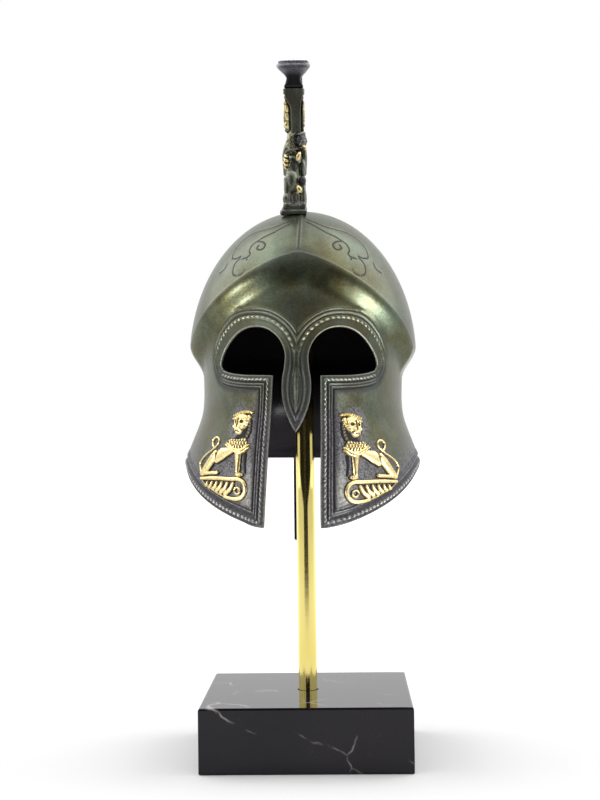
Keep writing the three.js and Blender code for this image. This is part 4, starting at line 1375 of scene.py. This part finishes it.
# The fan at the front end: rows of the end section drawn in towards the median, with strands between.
FAN_COLUMNS = 22
end_side, end_depth = carved[0].T
end_line = crest_line[0] + crest_inward[0] * end_depth[:, None]
below_lip, lip_groove = smooth(1.6, 2.2, end_depth), hump(1.0, 1.7, end_depth)
from_border = np.minimum(end_depth + 0.9, PLUME_DEPTH - end_depth)
fan, fan_groove = [], []
for share in np.linspace(1, 0, FAN_COLUMNS + 1)[1:]:
    strands = np.abs(np.sin(np.pi * 7.5 * share)) ** 0.6
    bulge = 0.9 * math.sqrt(1 - share**2) + 0.16 * (strands - 1) * below_lip - 0.4 * lip_groove
    bulge = bulge * (1 - smooth(0.0, 0.4, 0.4 - from_border))
    fan.append(np.column_stack([end_side * share, end_line[:, 0] - bulge, end_line[:, 1]]))
    fan_groove.append(np.clip((1 - strands) * below_lip + lip_groove, 0, 1))
net = front_net(len(plume_points), FAN_COLUMNS, np.arange(half), left_of_ring(half, around))
plume_points = np.vstack([plume_points, *fan, *[column * (-1, 1, 1) for column in fan[:-1]]])
fan_quads = np.stack([net[1:, :-1], net[1:, 1:], net[:-1, 1:], net[:-1, :-1]], axis=-1).reshape(-1, 4)
tail_cap = capped(half, around, (len(crest_line) - 1) * around)


def round_ring(of_half):
    """Values of whole sections from those of their right halves, in the order of the points."""
    return np.concatenate([of_half, of_half[:, -2:0:-1]], axis=1).ravel()


bar_groove = round_ring((1 - strand) * hair + seam / 0.3)
plume_groove = np.clip(np.concatenate([bar_groove, *fan_groove, *fan_groove[:-1]]), 0, 1)
front_edge = smooth(217.2, 217.8, plume_points[:, 2]) * (1 - smooth(-15.0, -13.8, plume_points[:, 1]))
# Painted highlight: the top of the fan's flare is lightened, given as rub, toward the plume's pale lilac-grey
# metal colour, as if lit from above.
flare_top_sheen = 0.42 * smooth(214.6, 217.4, plume_points[:, 2]) * (1 - smooth(-13.0, -9.0, plume_points[:, 1]))
plume_fields = {
    "rub_and_sheen": (0.01 + flare_top_sheen + 0.57 * front_edge) * (1 - 0.6 * plume_groove),
    "dirt_and_shade": 0.8 * plume_groove * (1 - front_edge),
}
# Its metal colour, a pale lilac grey, shows on the front edge and as the painted highlight on the flare's
# top.
plume_bronze = bronze(
    "dark_bronze", 0.05, Smoothness=0.5,
    Green=(0.012, 0.012, 0.015), Olive=(0.014, 0.012, 0.012), Metal=(0.74, 0.72, 0.78),
)


def quads_to_triangles(quads):
    """Two triangles for each quad."""
    quads = np.asarray(quads)
    return np.vstack([quads[:, [0, 1, 2]], quads[:, [0, 2, 3]]])


def merged(points, triangles, fields, gap=0.004):
    """Joins points that coincide and drops the triangles that collapse."""
    tree = tree_of(points)
    first = np.arange(len(points))
    for i, p in enumerate(points):
        if first[i] == i:
            for _, j, _ in tree.find_range(p, gap):
                if j > i and first[j] == j:
                    first[j] = i
    triangles = first[triangles]
    triangles = triangles[np.all(triangles != np.roll(triangles, 1, axis=1), axis=1)]
    used = np.unique(triangles)
    renamed = np.full(len(points), -1)
    renamed[used] = np.arange(len(used))
    return points[used], renamed[triangles], {name: values[used] for name, values in fields.items()}


plume_faces = quads_to_triangles(np.vstack([plume_quads, fan_quads, tail_cap]))
plume_points, plume_faces, plume_fields = merged(plume_points, plume_faces, plume_fields)
plume = solid_piece("crest_plume_hair", plume_points, plume_faces, plume_fields, plume_bronze, CREST_PLACE)
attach(plume, "root")
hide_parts("crest_plume")


# ---------------------------------------------------------------- crest box
# The box that grips the plume's foot: a moulded upper rail, side panels with running scrolls in relief,
# a lower fillet, and a shouldered plate on its front end. Cast bronze, the relief rubbed to gold.
BOX_TOP, BOX_DEPTH, BOX_REAR_SHARE, BOX_LENGTH_SHARE = 8.3, 13.7, 0.69, 0.67
box_length = BOX_LENGTH_SHARE * crest_along[-1]
box_along = np.linspace(0, box_length, 460)
box_line = np.stack([np.interp(box_along, crest_along, crest_line[:, k]) for k in (0, 1)], axis=1)
box_inward = -left_of(box_line)
box_depth = BOX_DEPTH * (1 + (BOX_REAR_SHARE - 1) * box_along / box_length)
BOX_ROWS = 64
share = np.linspace(0, 1, BOX_ROWS)
below_top = share[None, :] * box_depth[:, None]
panel = box_depth[:, None] - 3.4
in_panel = (below_top - 2.6) / panel  # 0 to 1 across the side panel
side = 3.0 + 0.35 * (1 - smooth(1.3, 1.7, below_top)) + 0 * below_top
side = side - 0.18 * hump(0.55, 1.0, below_top) - 0.25 * hump(1.75, 2.35, below_top)
side = side + 0.16 * hump(2.3, 2.75, below_top)
from_foot = box_depth[:, None] - below_top
side = side + 0.16 * hump(0.7, 1.15, from_foot) - 0.12 * hump(1.1, 1.5, from_foot)
side = side - 0.6 * (1 - smooth(0.0, 0.9, from_foot))
CELL = 8.6
scroll_along = box_along[:, None] - CELL / 2
cell = np.round(scroll_along / CELL)
away_along, away_up = scroll_along - cell * CELL, (0.5 - in_panel) * panel
flip = np.where(cell % 2 == 0, 1, -1)
away_up = away_up * flip
reach = np.hypot(away_along, away_up)
turn = np.arctan2(away_up, away_along)
coil = (reach / 1.75 - turn / (2 * np.pi)) % 1
ribbon = np.clip(1 - np.abs(coil - 0.5) / 0.34, 0, 1) ** 0.7 * (1 - smooth(3.5, 4.1, reach))
from_stem = np.abs(away_up - 3.6 * np.sin(np.pi * away_along / CELL))
stem = np.clip(1 - from_stem / 0.75, 0, 1) ** 0.7 * smooth(3.2, 3.8, reach)
leaf = np.clip(1 - np.hypot((np.abs(away_along) - 3.6) / 1.1, (np.abs(away_up) - 3.3) / 0.6), 0, 1) ** 0.6
flower = np.clip(1 - reach / 0.9, 0, 1) ** 0.5
box_relief = np.maximum.reduce([ribbon, stem, leaf, flower])
box_relief *= smooth(0.0, 0.06, in_panel) * (1 - smooth(0.94, 1.0, in_panel))
box_relief *= 1 + 0.12 * np.sin(box_along[:, None] * 3.1) * np.sin(below_top * 3.7)
side = side - 0.1 * smooth(0, 0.05, in_panel) * (1 - smooth(0.95, 1, in_panel)) + 0.55 * box_relief
side = side * (1 - 0.24 * smooth(4, 30, box_along))[:, None]
half_box = np.stack([side, BOX_TOP + below_top], axis=2)
middle_top = np.stack([0 * box_along, 0 * box_along + BOX_TOP], axis=1)[:, None]
middle_foot = np.stack([0 * box_along, BOX_TOP + box_depth], axis=1)[:, None]
half_box = np.concatenate([middle_top, half_box, middle_foot], axis=1)
box_points, box_quads, half, around = closed_band(box_line, box_inward, half_box)
rail = hump(2.2, 2.8, below_top) + hump(0.7, 1.15, from_foot) + hump(0.0, 0.6, below_top)
ring_relief = round_ring(np.pad(box_relief, ((0, 0), (1, 1))))
ring_rail = np.clip(round_ring(np.pad(rail, ((0, 0), (1, 1)))), 0, 1)

# The front end: a shouldered plate stands forward of the box's end, with a raised border of its own.
END_COLUMNS = 30
PLATE_DOWN, PLATE_HALF = [0, 1.6, 2.6, 4.4, 6.0, 12.8, 13.7], [3.2, 3.25, 3.0, 2.1, 1.72, 1.6, 1.6]
down = share * box_depth[0]
plate_half = np.interp(down, PLATE_DOWN, PLATE_HALF)
end_line = box_line[0] + box_inward[0] * (BOX_TOP + down)[:, None]
end_side = half_box[0, 1:-1, 0]
notch = hump(5.2, 5.7, down) + hump(8.4, 8.8, down) + hump(11.6, 12.0, down)
knob_row = 0.35 + 0.65 * np.abs(np.sin(np.pi * (BOX_TOP + down) / 2.6)) ** 0.6
knob_row *= smooth(2.4, 3.6, down) * (1 - smooth(12.6, 13.4, down))
end, end_mask, end_edge, end_knob = [], [], [], []
for column in np.linspace(1, 0, END_COLUMNS + 1)[1:]:
    x = end_side * column
    on_plate = 1 - smooth(-0.1, 0.12, x - plate_half)
    border = hump(-0.55, 0.02, x - plate_half)
    lines = 0.08 * np.sin(x * 7.5) * (1 - border) * on_plate
    knobs = np.sqrt(hump(plate_half + 0.1, end_side + 0.25, x)) * knob_row
    forward = on_plate * (0.85 + 0.22 * border + lines - 0.12 * notch * (1 - border)) + 0.75 * knobs
    end.append(np.column_stack([x, end_line[:, 0] - forward, end_line[:, 1]]))
    end_mask.append(on_plate * (1 - border))
    end_edge.append(border * on_plate)
    end_knob.append(knobs)
count = len(down)
first_end = len(box_points)
net = front_net(first_end, END_COLUMNS, 1 + np.arange(count), around - 1 - np.arange(count))
box_points = np.vstack([box_points, *end, *[column * (-1, 1, 1) for column in end[:-1]]])
end_quads = np.stack([net[:-1, :-1], net[1:, :-1], net[1:, 1:], net[:-1, 1:]], axis=-1).reshape(-1, 4)
top_fan = np.stack([net[1:, 0], net[:-1, 0], np.zeros(len(net) - 1, int)], axis=1)
foot_fan = np.stack([net[:-1, -1], net[1:, -1], np.full(len(net) - 1, count + 1)], axis=1)
rear_cap = quads_to_triangles(capped(half, around, (len(box_line) - 1) * around))
box_faces = np.vstack([quads_to_triangles(np.vstack([box_quads, end_quads])), top_fan, foot_fan, rear_cap])
on_bar, on_end = np.zeros(first_end), np.zeros(len(box_points) - first_end)
plate_field = np.concatenate([on_bar, *end_mask, *end_mask[:-1]])
edge_field = np.concatenate([on_bar, *end_edge, *end_edge[:-1]])
right_knobs = [0.4 * knob for knob in end_knob]  # rubbed less than the left ones
knob_field = np.concatenate([on_bar, *right_knobs, *end_knob[:-1]])
relief_field = np.concatenate([ring_relief, on_end])
rail_field = np.concatenate([ring_rail, on_end])
# The plate's foot is cast a little to one side.
lean = smooth(2, 6, np.concatenate([on_bar, np.tile(down, 2 * END_COLUMNS - 1)]))
box_points[:, 0] += 0.7 * lean * (1 - np.clip(box_points[:, 0] / 3.2, -1, 1) ** 2)
bright = 0.95 * smooth(0.25, 0.7, relief_field) + smooth(0.4, 0.75, knob_field)
ground = 0.75 * (1 - smooth(0.05, 0.4, relief_field + knob_field)) * (1 - rail_field)
box_fields = {
    "rub_and_sheen": np.clip(bright + 0.3 * rail_field + 0.08 * edge_field, 0, 1),
    "dirt_and_shade": np.clip(ground - edge_field, 0, 1) * (1 - 0.6 * plate_field) + 0.3 * plate_field,
}
box_points, box_faces, box_fields = merged(box_points, box_faces, box_fields)
crest_bronze = bronze(
    "crest_bronze", 0.05, Smoothness=0.5,
    Green=(0.19, 0.21, 0.165), Olive=(0.12, 0.11, 0.07), Metal=(0.88, 0.71, 0.34), Ash=(0.05, 0.045, 0.058),
)
box = solid_piece("crest_box_panels", box_points, box_faces, box_fields, crest_bronze, CREST_PLACE)
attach(box, "root")
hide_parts("crest_box")


# ---------------------------------------------------------------- crest figure
# A winged beast seated on a stepped plinth, cast in one with it. It turns its head aside, its back and
# wings carry the crest box, and its feathers, mane and paws are chased and rubbed to gold.
def ball(centre, radii, turn=(0, 0, 0), sides=14):
    """Points and triangles of an ellipsoid, turned about its centre by degrees about x, y and z."""
    up = np.linspace(0, math.pi, sides)[1:-1]
    turns = 2 * np.pi * np.arange(2 * sides) / (2 * sides)
    ring = np.stack([np.cos(turns), np.sin(turns)], axis=1)
    between_poles = [(math.sin(u) * c, math.sin(u) * s, math.cos(u)) for u in up for c, s in ring]
    points = np.array([(0, 0, 1), *between_poles, (0, 0, -1)]) * radii
    for axis, degrees in zip("XYZ", turn):
        points = points @ np.array(Matrix.Rotation(math.radians(degrees), 3, axis)).T
    n, triangles = 2 * sides, []
    for k in range(n):
        m = (k + 1) % n
        triangles.append((0, 1 + k, 1 + m))
        for i in range(len(up) - 1):
            a, b = 1 + i * n, 1 + (i + 1) * n
            triangles += [(a + k, b + k, b + m), (a + k, b + m, a + m)]
        last = 1 + (len(up) - 1) * n
        triangles.append((last + n, last + m, last + k))
    return points + centre, np.array(triangles)


def sausage(path, radii):
    """Balls along a smooth path, close enough to join into a limb."""
    line = route(path, 0.6)
    size = np.interp(np.linspace(0, 1, len(line)), np.linspace(0, 1, len(radii)), radii)
    return [ball(p, (r, r, r), sides=9) for p, r in zip(line, size)]


def slab(low_line, high_line, half_width, middle):
    """A bar across x between two lines (y, z) of equal length."""
    n = len(low_line)
    ends = (middle - half_width, middle + half_width)
    points = [(x, y, z) for x in ends for line in (low_line, high_line) for y, z in line]
    a, b, c, d = (k * n + np.arange(n) for k in range(4))
    quads = []
    for p, q in ((a, b), (b, d), (d, c), (c, a)):
        quads += [[p[i], p[i + 1], q[i + 1], q[i]] for i in range(n - 1)]
    quads += [[a[0], b[0], d[0], c[0]], [a[-1], c[-1], d[-1], b[-1]]]
    return np.array(points, float), quads_to_triangles(np.array(quads))


def dome_top(y):
    """Height of the dome's keel at a depth y."""
    return DOME_Z + DOME_RISE * math.sqrt(1 - (y / (DOME_FRONT if y < 0 else DOME_BACK)) ** 2)


steps_y = np.linspace(-15.0, 9.4, 9)


def plinth_step(shrink, low, high, half_width, middle):
    """A step of the plinth that follows the keel between two heights above it."""
    low_line = [(y * shrink, dome_top(y) + low) for y in steps_y]
    high_line = [(y * shrink, dome_top(y) + high) for y in steps_y]
    return slab(low_line, high_line, half_width, middle)


solids = [
    plinth_step(1, 0.35, 1.5, 3.95, -0.35),
    plinth_step(0.97, 1.2, 3.3, 3.5, -0.25),
    ball((-4.0, -13.6, 171.9), (0.8, 1.2, 1.0)),  # knob on the plinth's corner
    ball((-2.8, -12.9, 176.2), (1.05, 1.6, 2.0)),  # tuft of the left foreleg
    ball((-0.6, -8.5, 185.5), (2.4, 4.6, 4.6)),  # chest
    ball((0, -1.5, 184.5), (2.3, 6.0, 5.2), (20, 0, 0)),  # body
    ball((-1.0, -11.4, 182.0), (2.15, 2.6, 4.2)),  # breast
    ball((2.3, 2.4, 178.6), (1.25, 4.6, 4.0), (-15, 0, 0)),  # haunches
    ball((-2.3, 2.4, 178.6), (1.25, 4.6, 4.0), (-15, 0, 0)),
    ball((-1.0, -10.4, 194.6), (1.5, 2.2, 4.4)),  # neck
    ball((2.0, -11.0, 194.8), (1.75, 2.5, 2.15)),  # head
    ball((2.7, -13.2, 194.1), (0.95, 1.3, 0.95)),  # muzzle
    ball((2.1, -13.4, 193.2), (0.7, 0.9, 0.45)),  # jaw
    ball((-2.45, -11.4, 188.3), (1.0, 2.5, 2.6), (0, 0, -8)),  # front of the left wing
    ball((1.2, -12.5, 189.7), (0.75, 1.2, 1.8), (0, 18, 0)),  # front of the right wing
    ball((3.0, -11.4, 192.7), (1.0, 1.6, 0.4)),  # tip of the right wing
    ball((2.4, -11.6, 182.2), (1.15, 1.9, 1.45)),  # elbow
    ball((1.3, -13.2, 179.2), (0.85, 0.95, 1.5), (0, -20, 0)),  # knee
    ball((2.6, -8.5, 187.0), (1.0, 2.8, 3.4)),  # right shoulder
    ball((0.2, 4.6, 194.2), (2.2, 3.6, 4.6), (38, 0, 0)),  # back of the wings, under the crest box
    ball((-2.4, -14.0, 174.2), (1.25, 1.3, 0.85)),  # paws
    ball((0.9, -13.9, 174.1), (0.75, 1.3, 0.8)),
    ball((2.75, -13.4, 174.2), (0.85, 1.3, 0.8)),
]
COLLAR = [(-3.1, -12.2, 189.6), (-2.6, -12.9, 191.0), (-1.2, -13.2, 191.5), (0.9, -13.1, 192.1)]
LEFT_FORELEG = [(-2.2, -12.0, 182.5), (-2.4, -12.8, 178.5), (-2.4, -13.1, 174.6)]
RIGHT_FORELEG = [(0.9, -12.0, 180.5), (0.8, -12.9, 177.5), (0.8, -13.1, 174.6)]
RIGHT_HIND_LEG = [(2.5, -11.6, 181.0), (2.65, -12.4, 177.5), (2.75, -12.8, 174.6)]
BEAST_TAIL = [(0, 6.2, 176.6), (0.6, 8.6, 178.4), (0.9, 8.6, 181.6), (0.2, 7.2, 184.0), (-0.3, 7.8, 186.4)]
FORELOCK = [(2.9, -8.0, 196.4), (2.9, -11.4, 197.3), (1.6, -13.2, 196.6)]
for path, radii in (
    (COLLAR, (0.42, 0.5, 0.5, 0.35)),
    (LEFT_FORELEG, (1.35, 1.05, 0.85)),
    (RIGHT_FORELEG, (0.9, 0.6, 0.55)),
    (RIGHT_HIND_LEG, (0.95, 0.75, 0.65)),
    (BEAST_TAIL, (0.7, 0.6, 0.5, 0.5, 0.7)),
    (FORELOCK, (0.5, 0.6, 0.5)),
):
    solids += sausage(path, radii)
for side_x in (-1, 1):
    for k in range(6):  # five long feathers and the wing's leading edge, fanned up the flank
        foot = (side_x * 2.75, -8.8 + 1.1 * k, 184.9 + 0.25 * k)
        tip = ((2.3 if side_x > 0 else -1.5), -8.6 + 3.5 * k, 196.6 + 0.45 * k - 0.09 * k * k)
        middle = (side_x * 3.0, (foot[1] + tip[1]) / 2 - 1.2, (foot[2] + tip[2]) / 2 + 0.6)
        solids += sausage([foot, middle, tip], (0.95, 0.9, 0.7))
curls = random.Random(5)
for k in range(34):  # mane curls round the head and down the neck
    a = 2 * math.pi * k / 17
    radius = 0.42 + 0.1 * curls.random()
    if k < 17:
        centre = (1.9 + 1.75 * math.cos(a), -10.2 + 0.5 * math.sin(3 * a), 194.9 + 2.1 * math.sin(a))
    else:
        centre = (-1.0 + 1.4 * math.cos(a), -11.0 - 0.9 * abs(math.sin(a)), 190.6 + 0.42 * (k - 17))
    solids.append(ball(centre, (radius, radius * 1.3, radius), sides=7))
# The solids are joined into one skin on an even grid of small cells, which eases their seams.
lump_points, lump_faces, total = [], [], 0
for points, triangles in solids:
    lump_points.append(points)
    lump_faces.append(triangles + total)
    total += len(points)
lump = bpy.data.meshes.new("figure_lumps")
lump.from_pydata(np.vstack(lump_points).tolist(), [], np.vstack(lump_faces).tolist())
lump_object = bpy.data.objects.new("figure_lumps", lump)
scene.collection.objects.link(lump_object)
join = lump_object.modifiers.new("join", "REMESH")
join.mode = "VOXEL"
join.voxel_size = 0.2
ease = lump_object.modifiers.new("ease", "SMOOTH")
ease.factor, ease.iterations = 0.5, 2
joined = bpy.data.meshes.new_from_object(lump_object.evaluated_get(bpy.context.evaluated_depsgraph_get()))
bpy.data.objects.remove(lump_object)
bpy.data.meshes.remove(lump)
points = np.empty(3 * len(joined.vertices))
joined.vertices.foreach_get("co", points)
normals = np.empty(3 * len(joined.vertices))
joined.vertices.foreach_get("normal", normals)
points, normals = points.reshape(-1, 3), normals.reshape(-1, 3)
joined.calc_loop_triangles()
triangles = np.empty(3 * len(joined.loop_triangles), np.int32)
joined.loop_triangles.foreach_get("vertices", triangles)
triangles = triangles.reshape(-1, 3)
bpy.data.meshes.remove(joined)
x, y, z = points.T

# The skin is chased: feathers on the wings, curls on the mane, a ripple on the breast. The masks follow.


def about(centre, radii):
    """1 at a centre and 0 outside an ellipsoid round it, with a soft edge."""
    return 1 - smooth(0.75, 1.1, np.linalg.norm((points - centre) / radii, axis=1))


left_wing = about((-2.7, -11.6, 188.3), (1.5, 3.0, 2.9))
right_wing = about((1.2, -12.9, 189.7), (1.0, 1.6, 2.1))
small_wing = about((3.1, -11.6, 192.7), (1.3, 1.9, 0.7))
knee = about((1.3, -13.6, 179.3), (1.1, 1.2, 1.8))
flank = smooth(2.5, 2.9, np.abs(x)) * smooth(184, 186, z) * (1 - smooth(-10, -8.5, -y)) * (y > -9.5)
stripe = np.sin(2 * np.pi * (z - 0.35 * y + 0.25 * x) / 1.5)
barbs = np.sin(2 * np.pi * (z + 0.9 * y) / 0.75)
mane = about((1.9, -10.4, 195.0), (2.3, 2.4, 2.7)) + about((-1.0, -11.0, 194.0), (1.9, 2.2, 4.0))
carving = 0.16 * np.minimum(stripe, 0.2) * left_wing + 0.1 * barbs * flank
carving = carving + 0.06 * np.sin(2 * np.pi * (x * 0.9 + z * 0.5) / 0.6) * np.clip(mane, 0, 1)
carving = carving + 0.05 * np.sin(9 * x + 3 * z) * np.sin(8 * y) * (z > 175) * (z < 186)
points = points + normals * carving[:, None]
wings = left_wing * smooth(-0.35, 0.1, stripe) + right_wing + small_wing
gold = np.clip(wings + 0.9 * knee + 0.6 * flank * (barbs > -0.2), 0, 1)
neck = about((-1.2, -11.6, 194.2), (1.7, 2.4, 3.6))
head = about((2.1, -11.6, 194.8), (2.4, 3.0, 2.7))
gap = about((0.0, -12.4, 187.6), (1.3, 2.6, 3.0)) * (1 - left_wing)
elbow = about((2.4, -11.8, 182.0), (1.5, 2.4, 1.9))
figure_fields = {
    "rub_and_sheen": np.clip(gold + 0.14 * neck * (1 - head), 0, 1),
    "dirt_and_shade": np.clip(left_wing * (stripe < -0.5) + 0.9 * gap + 0.6 * (z < 171.6), 0, 1) * (1 - small_wing),
    "soot": np.clip(head + 0.9 * elbow + 0.55 * (z < 177), 0, 1),
}
figure = solid_piece("crest_beast", points, triangles, figure_fields, crest_bronze, CREST_PLACE)
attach(figure, "root")
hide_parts("crest_figure")
